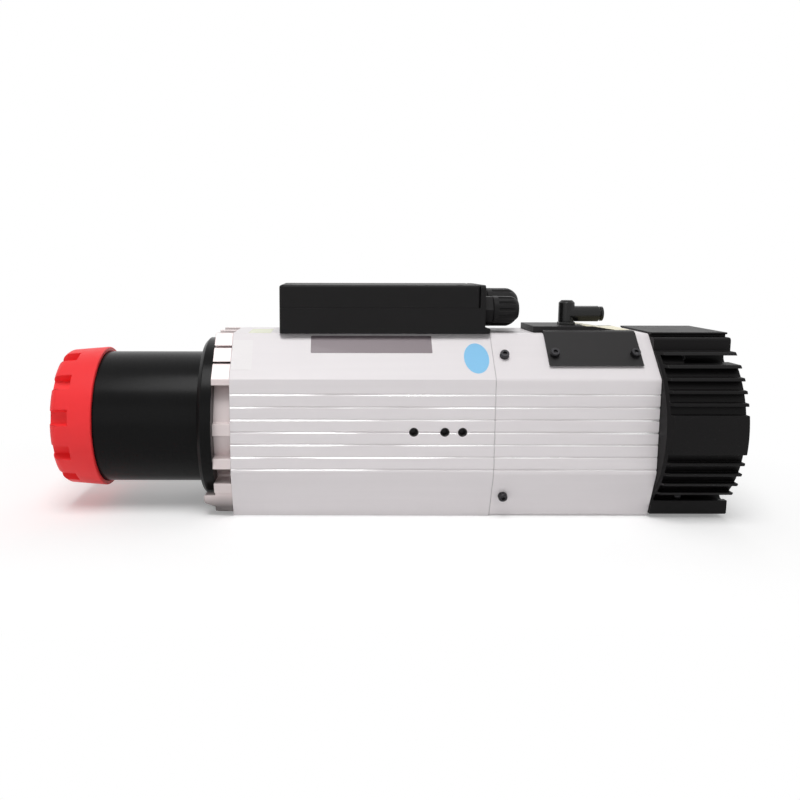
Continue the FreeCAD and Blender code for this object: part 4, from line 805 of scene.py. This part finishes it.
def own_piece(
    name: str, shape: bmesh.types.BMesh, finish: Finish, shop: Shop, body: Body = Body.CASING,
) -> bpy.types.Object:
    """Turns a mesh of the scene's own into a dressed piece.

    Args:
        name: The piece's name.
        shape: The mesh, which is freed.
        finish: Its finish.
        shop: Where the materials come from.
        body: The body it rides on.

    Returns:
        The piece.
    """
    bmesh.ops.remove_doubles(shape, verts=shape.verts, dist=WELD)
    bmesh.ops.recalc_face_normals(shape, faces=shape.faces)
    mesh = baked(name, shape)
    mesh.materials.append(shop.get(finish))
    mesh.shade_smooth()
    mesh.set_sharp_from_angle(angle=math.radians(SHARP_DEGREES))
    piece = new_object(name, mesh)
    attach(piece, body.value)
    LOG.info("%s: %d faces", name, len(mesh.polygons))
    return piece


@dataclass
class Dress:
    """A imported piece's own form with its edges rounded and its finish on."""

    nodes: tuple[str, ...]
    finish: Finish
    body: Body = Body.CASING
    edge: float = 0.3 * MM
    flat_angle: float = math.radians(0.5)
    merge: float = 0.000002

    def build(self, shop: Shop) -> bpy.types.Object:
        """Copies, merges, rounds and dresses the nodes, and hides the originals.

        Args:
            shop: Where the materials come from.

        Returns:
            The new piece.
        """
        shape = bmesh.new()
        for node in self.nodes:
            shape.from_mesh(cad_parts[node].data)
        bmesh.ops.remove_doubles(shape, verts=shape.verts, dist=self.merge)
        bmesh.ops.dissolve_limit(shape, angle_limit=self.flat_angle, verts=shape.verts, edges=shape.edges)
        name = self.nodes[0] + "_dressed"
        mesh = baked(name, shape)
        mesh.materials.clear()
        mesh.materials.append(shop.get(self.finish))
        mesh.shade_smooth()
        piece = new_object(name, mesh)
        rounded(piece, self.edge)
        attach(piece, self.body.value)
        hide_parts(*self.nodes)
        LOG.info("%s: %d faces", name, len(piece.data.polygons))
        return piece


def keep_node(node: str, finish: Finish, shop: Shop) -> None:
    """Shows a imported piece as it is, with its finish on.

    Args:
        node: The piece's node.
        finish: Its finish.
        shop: Where the materials come from.
    """
    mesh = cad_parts[node].data
    mesh.materials.clear()
    mesh.materials.append(shop.get(finish))
    LOG.info("%s: carried over", node)


@dataclass(frozen=True)
class Section:
    """The eight-sided body section, in millimetres from its bottom face."""

    height: float = 140.0
    width: float = 114.4
    top_flat: float = 54.2
    bottom_flat: float = 87.2
    top_drop: float = 31.7
    bottom_drop: float = 36.7

    def chamfer(self, share: float, upper: bool, side: int) -> tuple[Vector, Vector]:
        """A point on a chamfer and the way out of it.

        Args:
            share: Nought at the flat face and one at the side.
            upper: Whether it is an upper chamfer.
            side: Which side, as a sign of Y.

        Returns:
            The point in millimetres and the outward normal.
        """
        flat, drop = (self.top_flat, self.top_drop) if upper else (self.bottom_flat, self.bottom_drop)
        run = (self.width - flat) / 2
        y = flat / 2 + share * run
        z = self.height - share * drop if upper else share * drop
        normal = Vector((0.0, side * drop, run if upper else -run)).normalized()
        return Vector((0.0, side * y, z)), normal


SECTION = Section()


def lathed(name: str, loops: Sequence[Sequence[Vector]], closed: bool) -> bpy.types.Object:
    """Joins loops that have the same number of points into a mesh.

    Args:
        name: The object's name.
        loops: The loops, in millimetres.
        closed: Whether the last loop joins the first; otherwise both get a cap.

    Returns:
        The object.
    """
    shape = bmesh.new()
    rows = [[shape.verts.new(point * MM) for point in loop] for loop in loops]
    pairs = list(zip(rows, rows[1:])) + ([(rows[-1], rows[0])] if closed else [])
    for low, high in pairs:
        for i in range(len(low)):
            j = (i + 1) % len(low)
            shape.faces.new((low[i], low[j], high[j], high[i]))
    if not closed:
        shape.faces.new(rows[0])
        shape.faces.new(rows[-1])
    bmesh.ops.recalc_face_normals(shape, faces=shape.faces)
    return new_object(name, baked(name, shape))


def circle(radius: float, height: float, sides: int) -> list[Vector]:
    """A loop of points about Z."""
    turns = [2 * math.pi * i / sides for i in range(sides)]
    return [Vector((radius * math.cos(t), radius * math.sin(t), height)) for t in turns]


@dataclass
class Repeats:
    """A shape that is drawn once and set on each of its places by Geometry Nodes."""

    node: str
    finish: Finish | None = None
    body: Body = Body.CASING
    follows: Body | None = None
    smooth_angle: float = math.radians(24.0)
    scale: float = 1.0
    turn: float = math.pi / 3
    seed: int = 7

    def one(self) -> bpy.types.Object:
        """The shape, with its seat at the origin and its way in along Z."""
        raise NotImplementedError

    def places(self) -> Seats:
        """Where each stands, and which way it points."""
        raise NotImplementedError

    def sizes(self) -> list[float]:
        """How large each is against the one that is drawn."""
        return [1.0] * len(self.places())

    def _tree(self) -> bpy.types.NodeTree:
        """The tree that sets the shape on each place and turns it to its aim.

        Returns:
            The tree.
        """
        graph = ShapeGraph(self.node + "_nodes")
        shape = graph.add("GeometryNodeObjectInfo", None, {"Object": graph.given("Shape"), "As Instance": True})
        aim = graph.add("GeometryNodeInputNamedAttribute", {"data_type": "FLOAT_VECTOR"}, {"Name": "aim"})
        turn = graph.add("FunctionNodeAlignRotationToVector", {"axis": "Z"}, {"Vector": aim.outputs[0]})
        drawn = {2: 0.0, 3: graph.given("Turn"), "Seed": self.seed}
        spin = graph.add("FunctionNodeRandomValue", {"data_type": "FLOAT"}, drawn)
        about = {"Axis": (0.0, 0.0, 1.0), "Angle": spin.outputs[1]}
        own = graph.add("FunctionNodeAxisAngleToRotation", None, about)
        both = {"Rotation": turn.outputs[0], "Rotate By": own.outputs[0]}
        whole = graph.add("FunctionNodeRotateRotation", {"rotation_space": "LOCAL"}, both)
        size = graph.number(graph.add("GeometryNodeInputNamedAttribute", None, {"Name": "size"}))
        placed = graph.add("GeometryNodeInstanceOnPoints", None, {
            "Points": graph.given("Geometry"),
            "Instance": shape.outputs["Geometry"],
            "Rotation": whole.outputs[0],
            "Scale": size * graph.given("Scale"),
        })
        return graph.close(placed.outputs[0])

    def _carry(self, piece: bpy.types.Object) -> None:
        """Lets the piece ride on its body; one that follows another body is left unattached, with its place
        written into its mesh.

        Args:
            piece: The piece.
        """
        if self.follows is None:
            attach(piece, self.body.value)
            return
        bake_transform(piece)

    def build(self, shop: Shop) -> bpy.types.Object:
        """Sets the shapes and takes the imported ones' place.

        Args:
            shop: Where the materials come from.

        Returns:
            The new piece.
        """
        places = self.places()
        mesh = bpy.data.meshes.new(self.node + "_places")
        mesh.from_pydata([place * MM for place, _ in places], [], [])
        aims = mesh.attributes.new("aim", "FLOAT_VECTOR", "POINT")
        for datum, (_, aim) in zip(aims.data, places):
            datum.vector = aim
        mesh.attributes.new("size", "FLOAT", "POINT").data.foreach_set("value", self.sizes())
        piece = new_object(self.node + "_dressed", mesh)
        shape = self.one()
        grown(piece, self._tree(), {
            "Shape": shape, "Material": shop.get(self.finish), "Scale": self.scale, "Turn": self.turn,
        })
        bpy.data.objects.remove(shape)
        piece.data.shade_smooth()
        piece.data.set_sharp_from_angle(angle=self.smooth_angle)
        self._carry(piece)
        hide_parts(self.node)
        LOG.info("%s: %d of them", piece.name, len(places))
        return piece


@dataclass
class SocketScrews(Repeats):
    """Socket cap screws of one size."""

    finish: Machined = SCREW_STEEL
    radius: float = 2.0
    length: float = 10.0
    seats: Callable[[], Seats] = list
    sides: int = 60
    head_width: float = 1.75
    head_height: float = 2.0
    socket_width: float = 0.85
    socket_depth: float = 1.0
    ridge_share: float = 0.045

    def places(self) -> Seats:
        """The screws' seats."""
        return self.seats()

    def _reach(self, step: int, radius: float, kind: str) -> float:
        """How far one of a loop's points lies from the screw's axis.

        Args:
            step: The point's number.
            radius: The loop's radius.
            kind: "plain", "ridged" or "hex".

        Returns:
            The distance in millimetres.
        """
        if kind == "ridged":
            return radius * (1.0 if step % 2 else 1.0 - self.ridge_share)
        if kind == "hex":
            turn = (2 * math.pi * step / self.sides) % (math.pi / 3) - math.pi / 6
            return radius * math.cos(math.pi / 6) / math.cos(turn)
        return radius

    def _profile(self) -> list[tuple[float, float, str]]:
        """Height, radius and kind of each loop, from the thread's end to the socket's floor.

        Returns:
            The loops.
        """
        head, height = self.radius * self.head_width, self.radius * self.head_height
        socket, floor = self.radius * self.socket_width, self.radius * self.socket_depth - height
        body = head * (1.0 - self.ridge_share)
        return [
            (self.length, self.radius * 0.8, "plain"),
            (self.length - self.radius * 0.2, self.radius, "plain"),
            (0.0, self.radius, "plain"),
            (0.0, body * 0.97, "plain"),
            (-0.06 * height, head, "ridged"),
            (-0.80 * height, head, "ridged"),
            (-0.84 * height, body, "plain"),
            (-0.96 * height, body * 0.96, "plain"),
            (-height, body * 0.90, "plain"),
            (-height, socket * 1.08, "hex"),
            (-height + 0.06 * self.radius, socket, "hex"),
            (floor, socket, "hex"),
            (floor + 0.2 * self.radius, socket * 0.3, "plain"),
        ]

    def one(self) -> bpy.types.Object:
        """One screw, with the underside of its head at the origin.

        Returns:
            The screw.
        """
        loops = []
        for height, radius, kind in self._profile():
            loop = circle(1.0, 0.0, self.sides)
            reach = [self._reach(step, radius, kind) for step in range(self.sides)]
            loops.append([Vector((p.x * r, p.y * r, height)) for p, r in zip(loop, reach)])
        return lathed(self.node + "_one", loops, False)


@dataclass
class DiscStack(Repeats):
    """Cone springs set face to face."""

    start: float = 0.0
    count: int = 12
    pitch: float = 5.0
    sheet: float = 3.2
    inner: float = 7.0
    outer: float = 14.4
    sides: int = 64

    def places(self) -> Seats:
        """Every second spring is turned round.

        Returns:
            Each spring's place and aim.
        """
        height = AXIS.z / MM
        found = []
        for i in range(self.count):
            turned = i % 2
            seat = Vector((self.start + (i + turned) * self.pitch, 0.0, height))
            found.append((seat, -ALONG if turned else ALONG))
        return found

    def one(self) -> bpy.types.Object:
        """One spring.

        Returns:
            The spring.
        """
        rise = self.pitch - self.sheet
        corners = (
            (self.inner, 0.0), (self.inner, self.sheet), (self.outer, rise + self.sheet), (self.outer, rise),
        )
        return lathed(self.node + "_one", [circle(r, h, self.sides) for r, h in corners], True)


@dataclass
class BallSets(Repeats):
    """The balls of the three bearings, as rows of place along X, pitch radius and ball radius."""

    body: Body = Body.BALLS
    rows: tuple[tuple[float, float, float], ...] = (
        (-203.5, 32.5, 4.35), (-177.5, 32.5, 4.35), (108.7, 27.0, 4.06),
    )
    radius: float = 4.35
    count: int = 10

    def places(self) -> Seats:
        """Even steps round each pitch circle.

        Returns:
            Each ball's place and aim.
        """
        found = []
        for x, pitch_radius, _ in self.rows:
            for point in circle(pitch_radius, 0.0, self.count):
                outward = Vector((0.0, point.x, point.y))
                found.append((Vector((x, point.x, point.y + AXIS.z / MM)), outward.normalized()))
        return found

    def sizes(self) -> list[float]:
        """Each row's balls against the one that is drawn."""
        return [ball / self.radius for _, _, ball in self.rows for _ in range(self.count)]

    def one(self) -> bpy.types.Object:
        """One ball.

        Returns:
            The ball.
        """
        shape = bmesh.new()
        bmesh.ops.create_uvsphere(shape, u_segments=24, v_segments=14, radius=self.radius * MM)
        return new_object(self.node + "_one", baked(self.node + "_one", shape))


@dataclass
class Label:
    """A thin blank label laid on a flat face of the body."""

    name: str
    finish: Sheet
    middle: Vector
    along: Vector
    up: Vector
    size: tuple[float, float]
    corner: float = 0.8
    oval: bool = False
    thickness: float = 0.12
    steps: int = 8
    oval_steps: int = 72

    def _outline(self) -> list[Vector]:
        """The label's edge about its middle.

        Returns:
            The points, in millimetres.
        """
        half_x, half_y = self.size[0] / 2, self.size[1] / 2
        if self.oval:
            turns = [2 * math.pi * i / self.oval_steps for i in range(self.oval_steps)]
            return [self.along * (half_x * math.cos(t)) + self.up * (half_y * math.sin(t)) for t in turns]
        points = []
        for quarter, (sx, sy) in enumerate(((1, 1), (-1, 1), (-1, -1), (1, -1))):
            for step in range(self.steps + 1):
                turn = math.pi / 2 * (quarter + step / self.steps)
                x = sx * (half_x - self.corner) + self.corner * math.cos(turn)
                y = sy * (half_y - self.corner) + self.corner * math.sin(turn)
                points.append(self.along * x + self.up * y)
        return points

    def build(self, shop: Shop) -> bpy.types.Object:
        """Builds the label and sticks it to the casing.

        Args:
            shop: Where the materials come from.

        Returns:
            The label.
        """
        out = self.along.cross(self.up)
        shape = bmesh.new()
        low = [shape.verts.new((self.middle + point) * MM) for point in self._outline()]
        high = [shape.verts.new(v.co + out * self.thickness * MM) for v in low]
        shape.faces.new(high)
        shape.faces.new(list(reversed(low)))
        count = len(low)
        for i in range(count):
            j = (i + 1) % count
            shape.faces.new((low[i], low[j], high[j], high[i]))
        return own_piece(self.name, shape, self.finish, shop)


# Sub-assemblies


@dataclass
class SubAssembly:
    """Pieces that are dressed together, what repeats among them, and inner pieces that are carried over."""

    dressed: tuple[Dress, ...] = ()
    repeated: tuple[Repeats, ...] = ()
    carried: tuple[tuple[str, Finish], ...] = ()

    def build(self, shop: Shop) -> None:
        """Builds every piece.

        Args:
            shop: Where the materials come from.
        """
        for piece in self.dressed + self.repeated:
            piece.build(shop)
        for node, finish in self.carried:
            keep_node(node, finish, shop)


@dataclass
class NoseUnit(SubAssembly):
    """The cap, the nose with its flange, and the bracket behind it."""

    dressed: tuple[Dress, ...] = (
        Dress(("nose_cap",), CAP_RED, Body.CAP, 0.3 * MM),
        Dress(("nose_housing",), NOSE_BLACK, edge=0.4 * MM),
        Dress(("front_bracket",), BRACKET_METAL, edge=0.35 * MM),
        Dress(("bearing_retainer",), NOSE_BLACK, edge=0.3 * MM),
    )


@dataclass
class SpindleUnit(SubAssembly):
    """The shaft, what turns with it, and the drawbar."""

    dressed: tuple[Dress, ...] = (
        Dress(("spindle_shaft",), TOOL_STEEL, Body.SPINDLE, 0.3 * MM),
        Dress(("drive_keys",), TOOL_STEEL, Body.SPINDLE, 0.3 * MM),
    )
    repeated: tuple[Repeats, ...] = (
        BallSets("bearing_balls", BEARING_STEEL),
        DiscStack("disc_springs", TOOL_STEEL, Body.SPINDLE, Body.DRAWBAR, inner=7.0, outer=14.4),
    )
    carried: tuple[tuple[str, Finish], ...] = (
        ("rotor_core", LAMINATIONS),
        ("rotor_end_rings", BARE_ALUMINIUM),
        ("bearing_inner_rings", BEARING_STEEL),
        ("bearing_cages", CAGE_RESIN),
        ("inner_spacer", TOOL_STEEL),
        ("front_locknut", TOOL_STEEL),
        ("rear_locknut", TOOL_STEEL),
        ("sensor_ring", TOOL_STEEL),
        ("drawbar", TOOL_STEEL),
        ("drawbar_nut", TOOL_STEEL),
        ("gripper", TOOL_STEEL),
    )


@dataclass
class MotorUnit(SubAssembly):
    """The motor shell, the rear shell and what they hold."""

    dressed: tuple[Dress, ...] = (
        Dress(("motor_shell",), SHELL_WHITE, edge=0.36 * MM),
        Dress(("rear_shell",), SHELL_WHITE, edge=0.36 * MM),
    )
    repeated: tuple[Repeats, ...] = (
        DiscStack(
            "piston_return_springs", TOOL_STEEL, Body.CASING, Body.PISTON,
            start=157.8, count=6, pitch=3.95, sheet=1.2, inner=12.6, outer=19.0,
        ),
    )
    carried: tuple[tuple[str, Finish], ...] = (
        ("end_shield", BARE_ALUMINIUM),
        ("stator_core", LAMINATIONS),
        ("stator_windings", WINDINGS),
        ("bearing_outer_rings", BEARING_STEEL),
        ("outer_spacer", TOOL_STEEL),
        ("cylinder_standoffs", TOOL_STEEL),
        ("cylinder_body", BARE_ALUMINIUM),
        ("cylinder_cover", BARE_ALUMINIUM),
        ("cylinder_screws", SCREW_STEEL),
        ("piston", BARE_ALUMINIUM),
        ("piston_seal", SEAL_RUBBER),
        ("air_inlet_block", BARE_ALUMINIUM),
        ("sensor_bracket", TOOL_STEEL),
        ("tool_sensors", TOOL_STEEL),
    )


@dataclass
class FanUnit(SubAssembly):
    """The finned cover, the grille, the fan and its motor."""

    dressed: tuple[Dress, ...] = (
        Dress(("fan_cover",), FAN_BLACK, edge=0.45 * MM),
        Dress(("fan_guard",), FAN_BLACK, edge=0.3 * MM),
        Dress(("fan_impeller",), FAN_PLASTIC, Body.FAN, 0.2 * MM),
        Dress(("fan_motor",), FAN_PLASTIC, edge=0.4 * MM),
    )


@dataclass
class JunctionBox(SubAssembly):
    """The box, its lid, its glands and the terminal block inside."""

    dressed: tuple[Dress, ...] = (
        Dress(("junction_box_base",), BOX_BLACK, edge=0.3 * MM),
        Dress(("junction_box_lid",), BOX_BLACK, edge=0.4 * MM),
        Dress(("power_gland_body",), BOX_BLACK, edge=0.35 * MM),
        Dress(("power_gland_nut",), BOX_BLACK, edge=0.12 * MM),
        Dress(("signal_gland_body",), BOX_BLACK, edge=0.3 * MM),
        Dress(("signal_gland_nut",), BOX_BLACK, edge=0.1 * MM),
    )
    carried: tuple[tuple[str, Finish], ...] = (
        ("junction_box_gasket", SEAL_RUBBER),
        ("terminal_block", TERMINAL_GREY),
        ("gland_locknuts", BOX_BLACK),
    )


@dataclass
class AccessCover(SubAssembly):
    """The folded cover on the rear shell and the air fitting on it."""

    dressed: tuple[Dress, ...] = (
        Dress(("access_cover",), COVER_GREY, edge=0.3 * MM),
        Dress(("fitting_stem",), FITTING_METAL, edge=0.25 * MM),
        Dress(("fitting_elbow",), FITTING_BLACK, Body.ELBOW, 0.25 * MM),
        Dress(("release_collar",), FITTING_BLACK, Body.COLLAR, 0.25 * MM),
    )


@dataclass
class Fasteners:
    """Every group of socket screws, each set on the seats that its own sizes give."""

    seam_x: float = 107.0
    flange_seat_x: float = -119.2
    flange_circle: float = 56.2
    flange_angles: tuple[float, ...] = (41.0, 139.0, -28.0, -152.0, -54.5, -125.5)
    cover_x: tuple[float, float] = (144.5, 205.0)
    cover_thickness: float = 2.2
    box_x: tuple[float, float] = (-56.0, 75.0)
    box_y: float = 26.0
    box_seat_z: float = 172.5
    fan_seat_x: float = 240.5
    fan_top: tuple[float, float] = (34.168, 52.55)
    fan_bottom: tuple[float, float] = (41.666, -52.55)

    def _seam(self) -> Seats:
        """Seats beside the seam, on all four chamfers.

        Returns:
            Each seat and the way in.
        """
        seats = []
        for upper in (True, False):
            for side in (1, -1):
                point, normal = SECTION.chamfer(0.5, upper, side)
                seats.append((Vector((self.seam_x, point.y, point.z)), -normal))
        return seats

    def _flange(self) -> Seats:
        """Seats in the flange's front face.

        Returns:
            Each seat and the way in.
        """
        seats = []
        for angle in self.flange_angles:
            turn = math.radians(angle)
            y, z = self.flange_circle * math.cos(turn), self.flange_circle * math.sin(turn)
            seats.append((Vector((self.flange_seat_x, y, z + AXIS.z / MM)), ALONG))
        return seats

    def _cover(self) -> Seats:
        """Seats on the access cover's folds.

        Returns:
            Each seat and the way in.
        """
        seats = []
        for x in self.cover_x:
            for side in (1, -1):
                point, normal = SECTION.chamfer(0.5, True, side)
                seat = point + normal * self.cover_thickness
                seats.append((Vector((x, seat.y, seat.z)), -normal))
        return seats

    def _box(self) -> Seats:
        """Seats in the lid's wells.

        Returns:
            Each seat and the way in.
        """
        down = Vector((0.0, 0.0, -1.0))
        places = [(x, y) for x in self.box_x for y in (self.box_y, -self.box_y)]
        return [(Vector((x, y, self.box_seat_z)), down) for x, y in places]

    def _fan(self) -> Seats:
        """Seats in the fan cover's channels.

        Returns:
            Each seat and the way in.
        """
        forward = Vector((-1.0, 0.0, 0.0))
        seats = []
        for y, z in (self.fan_top, self.fan_bottom):
            seats += [(Vector((self.fan_seat_x, side * y, z + AXIS.z / MM)), forward) for side in (1, -1)]
        return seats

    def build(self, shop: Shop) -> None:
        """Builds the five groups.

        Args:
            shop: Where the materials come from.
        """
        groups = (
            SocketScrews("rear_shell_screws", radius=2.0, length=13.0, seats=self._seam),
            SocketScrews("flange_screws", radius=2.0, length=26.0, seats=self._flange),
            SocketScrews("access_cover_screws", radius=2.0, length=10.0, seats=self._cover),
            SocketScrews("junction_box_screws", radius=1.75, length=24.0, seats=self._box),
            SocketScrews("fan_cover_screws", radius=2.5, length=31.7, seats=self._fan),
        )
        for group in groups:
            group.build(shop)


@dataclass
class Labels:
    """The blank labels on the casing.

    Each has its ends along X in millimetres, then its first and last share down the upper chamfer.
    The front one lies on the top face and has its ends along Y instead.
    """

    nameplate: Extent = (-38.9, 53.2, 0.065, 0.44)
    white: Extent = (-98.0, -83.0, 0.16, 0.80)
    oval: Extent = (76.6, 95.4, 0.227, 0.871)
    front: Extent = (-87.3, -70.1, -26.6, 9.4)

    @staticmethod
    def _on_chamfer(name: str, finish: Sheet, place: Extent, **extra: Any) -> Label:
        """A label on the camera side's upper chamfer.

        Args:
            name: The label's name.
            finish: Its finish.
            place: Its ends along X and its first and last share down the chamfer.
            extra: Other values of the label.

        Returns:
            The label.
        """
        x0, x1, high, low = place
        top, _ = SECTION.chamfer(high, True, -1)
        end, _ = SECTION.chamfer(low, True, -1)
        middle = Vector(((x0 + x1) / 2, (top.y + end.y) / 2, (top.z + end.z) / 2))
        up = (top - end).normalized()
        size = (x1 - x0, (top - end).length)
        return Label(name, finish, middle, ALONG, up, size, **extra)

    def build(self, shop: Shop) -> None:
        """Builds the labels.

        Args:
            shop: Where the materials come from.
        """
        x0, x1, y0, y1 = self.front
        middle = Vector(((x0 + x1) / 2, (y0 + y1) / 2, SECTION.height))
        across = Vector((0.0, 1.0, 0.0))
        labels = (
            self._on_chamfer("nameplate", GREY_FOIL, self.nameplate, corner=0.6),
            self._on_chamfer("white_label", WHITE_PAPER, self.white),
            self._on_chamfer("blue_label", BLUE_PAPER, self.oval, oval=True),
            Label("front_label", GREEN_PAPER, middle, ALONG, across, (x1 - x0, y1 - y0)),
        )
        for label in labels:
            label.build(shop)


@dataclass
class CoverLabel:
    """The blank label that follows the access cover's top behind the air fitting."""

    profile: tuple[tuple[float, float], ...] = (
        (175.0, 145.0), (179.7, 145.0), (197.7, 142.2), (209.0, 142.2),
    )
    far: float = 20.5
    near: float = -20.5
    thickness: float = 0.12

    def build(self, shop: Shop) -> bpy.types.Object:
        """Builds the bent sheet.

        Args:
            shop: Where the materials come from.

        Returns:
            The label.
        """
        shape = bmesh.new()
        rows = []
        for lift in (0.0, self.thickness):
            for y in (self.near, self.far):
                rows.append([shape.verts.new(Vector((x, y, z + lift)) * MM) for x, z in self.profile])
        low_near, low_far, high_near, high_far = rows
        last = len(self.profile) - 1
        for i in range(last):
            j = i + 1
            shape.faces.new((high_near[i], high_near[j], high_far[j], high_far[i]))
            shape.faces.new((low_near[i], low_far[i], low_far[j], low_near[j]))
            shape.faces.new((low_near[i], low_near[j], high_near[j], high_near[i]))
            shape.faces.new((low_far[i], high_far[i], high_far[j], low_far[j]))
        for end in (0, last):
            shape.faces.new((low_near[end], low_far[end], high_far[end], high_near[end]))
        return own_piece("cover_label", shape, YELLOW_PAPER, shop)


# Studio


@dataclass
class Studio:
    """The floor, the backdrop, the lamps and the camera."""

    camera_place: Point = (-0.02147, -0.62940, 0.19339)
    tilt_down: float = 0.1346
    roll: float = 0.0016
    lens: float = 35.283
    shift: tuple[float, float] = (0.08284, -0.03836)
    floor_half: float = 30.0
    floor_colour: Colour = (0.88, 0.88, 0.88)
    floor_lift: float = 0.25
    footprint: tuple[float, float] = (0.27, 0.07)
    fade_length: float = 0.17
    world_strength: float = 0.34
    lamps: tuple[tuple[str, Point, Point, float, float], ...] = (
        ("key", (-0.15, -0.8, 1.9), (0.0, 0.0, 0.07), 1.0, 22.5),
        ("fill", (-0.7, -1.8, 0.45), (0.0, 0.0, 0.07), 1.0, 1.2),
        ("rim", (0.3, 1.5, 1.4), (0.0, 0.0, 0.1), 1.2, 5.0),
    )

    def build(self) -> None:
        """Builds the whole studio."""
        self._camera()
        self._world()
        self._floor()
        for name, place, aim, size, power in self.lamps:
            self._lamp(name, Vector(place), Vector(aim), size, power)
        settings = bpy.context.scene.view_settings
        settings.view_transform = "Standard"
        LOG.info("studio built")

    def _camera(self) -> None:
        """Makes the camera."""
        data = bpy.data.cameras.new("camera")
        data.lens = self.lens
        data.shift_x, data.shift_y = self.shift
        data.clip_end = 100.0
        camera = bpy.data.objects.new("camera", data)
        turn = Matrix.Rotation(math.pi / 2 - self.tilt_down, 4, "X") @ Matrix.Rotation(self.roll, 4, "Z")
        camera.matrix_world = Matrix.Translation(self.camera_place) @ turn
        bpy.context.scene.collection.objects.link(camera)
        bpy.context.scene.camera = camera

    def _world(self) -> None:
        """Makes a world that lights softly and is white where it is seen."""
        world = bpy.data.worlds.new("studio")
        world.use_nodes = True
        bpy.context.scene.world = world
        kit = NodeKit(world.node_tree)
        kit.tree.nodes.clear()
        seen = self._seen(kit)
        strength = self.world_strength + (1.0 - self.world_strength) * seen
        light = kit.add("ShaderNodeBackground", None, {"Color": (1.0, 1.0, 1.0, 1.0), "Strength": strength})
        kit.add("ShaderNodeOutputWorld", None, {"Surface": light.outputs[0]})

    @staticmethod
    def _seen(kit: NodeKit) -> Maths:
        """One for the rays that show the backdrop itself, also in metal and through glass.

        Args:
            kit: The tree to add to.

        Returns:
            The share.
        """
        path = kit.add("ShaderNodeLightPath")
        total = kit.number(path, "Is Camera Ray") + kit.number(path, "Is Glossy Ray")
        total = total + kit.number(path, "Is Transmission Ray")
        return kit.number(kit.add("ShaderNodeClamp", None, {0: total}))

    def _floor(self) -> None:
        """Makes the pale floor that keeps the shadow near the object and is white further off."""
        graph = SurfaceGraph("floor")
        seen = self._seen(graph)
        x, y, _ = graph.separate()
        dx = graph.clamped(abs(x) - self.footprint[0])
        dy = graph.clamped(abs(y) - self.footprint[1])
        fade = graph.clamped((dx * dx + dy * dy).root() * (1.0 / self.fade_length))
        matte = graph.add("ShaderNodeBsdfDiffuse", None, {"Color": _rgba(self.floor_colour)})
        white = {"Color": (1.0, 1.0, 1.0, 1.0)}
        lift = graph.add("ShaderNodeEmission", None, {**white, "Strength": self.floor_lift * seen})
        near = graph.add("ShaderNodeAddShader", None, {0: matte.outputs[0], 1: lift.outputs[0]})
        glow = graph.add("ShaderNodeEmission", None, {**white, "Strength": 1.0})
        mix = graph.add("ShaderNodeMixShader", None, {0: fade * seen, 1: near.outputs[0], 2: glow.outputs[0]})
        graph.tree.links.new(mix.outputs[0], graph.output.inputs["Surface"])
        shape = bmesh.new()
        bmesh.ops.create_grid(shape, x_segments=1, y_segments=1, size=self.floor_half)
        mesh = baked("floor", shape)
        mesh.materials.append(graph.material)
        new_object("floor", mesh)

    @staticmethod
    def _lamp(name: str, place: Vector, aim: Vector, size: float, power: float) -> None:
        """Adds one soft lamp that points at a place.

        Args:
            name: Its name.
            place: Where it stands.
            aim: What it points at.
            size: Its side, in metres.
            power: Its power, in watts.
        """
        data = bpy.data.lights.new(name, "AREA")
        data.shape = "SQUARE"
        data.size = size
        data.energy = power
        lamp = bpy.data.objects.new(name, data)
        turn = (aim - place).to_track_quat("-Z", "Y").to_matrix().to_4x4()
        lamp.matrix_world = Matrix.Translation(place) @ turn
        bpy.context.scene.collection.objects.link(lamp)


def main() -> None:
    """Builds the studio and every sub-assembly in order."""
    shop = Shop()
    Studio().build()
    units = (
        MotorUnit(), NoseUnit(), SpindleUnit(), FanUnit(), JunctionBox(), AccessCover(),
        Fasteners(), Labels(), CoverLabel(),
    )
    for unit in units:
        unit.build(shop)
        LOG.info("%s built", type(unit).__name__)


if __name__ == "__main__":
    main()
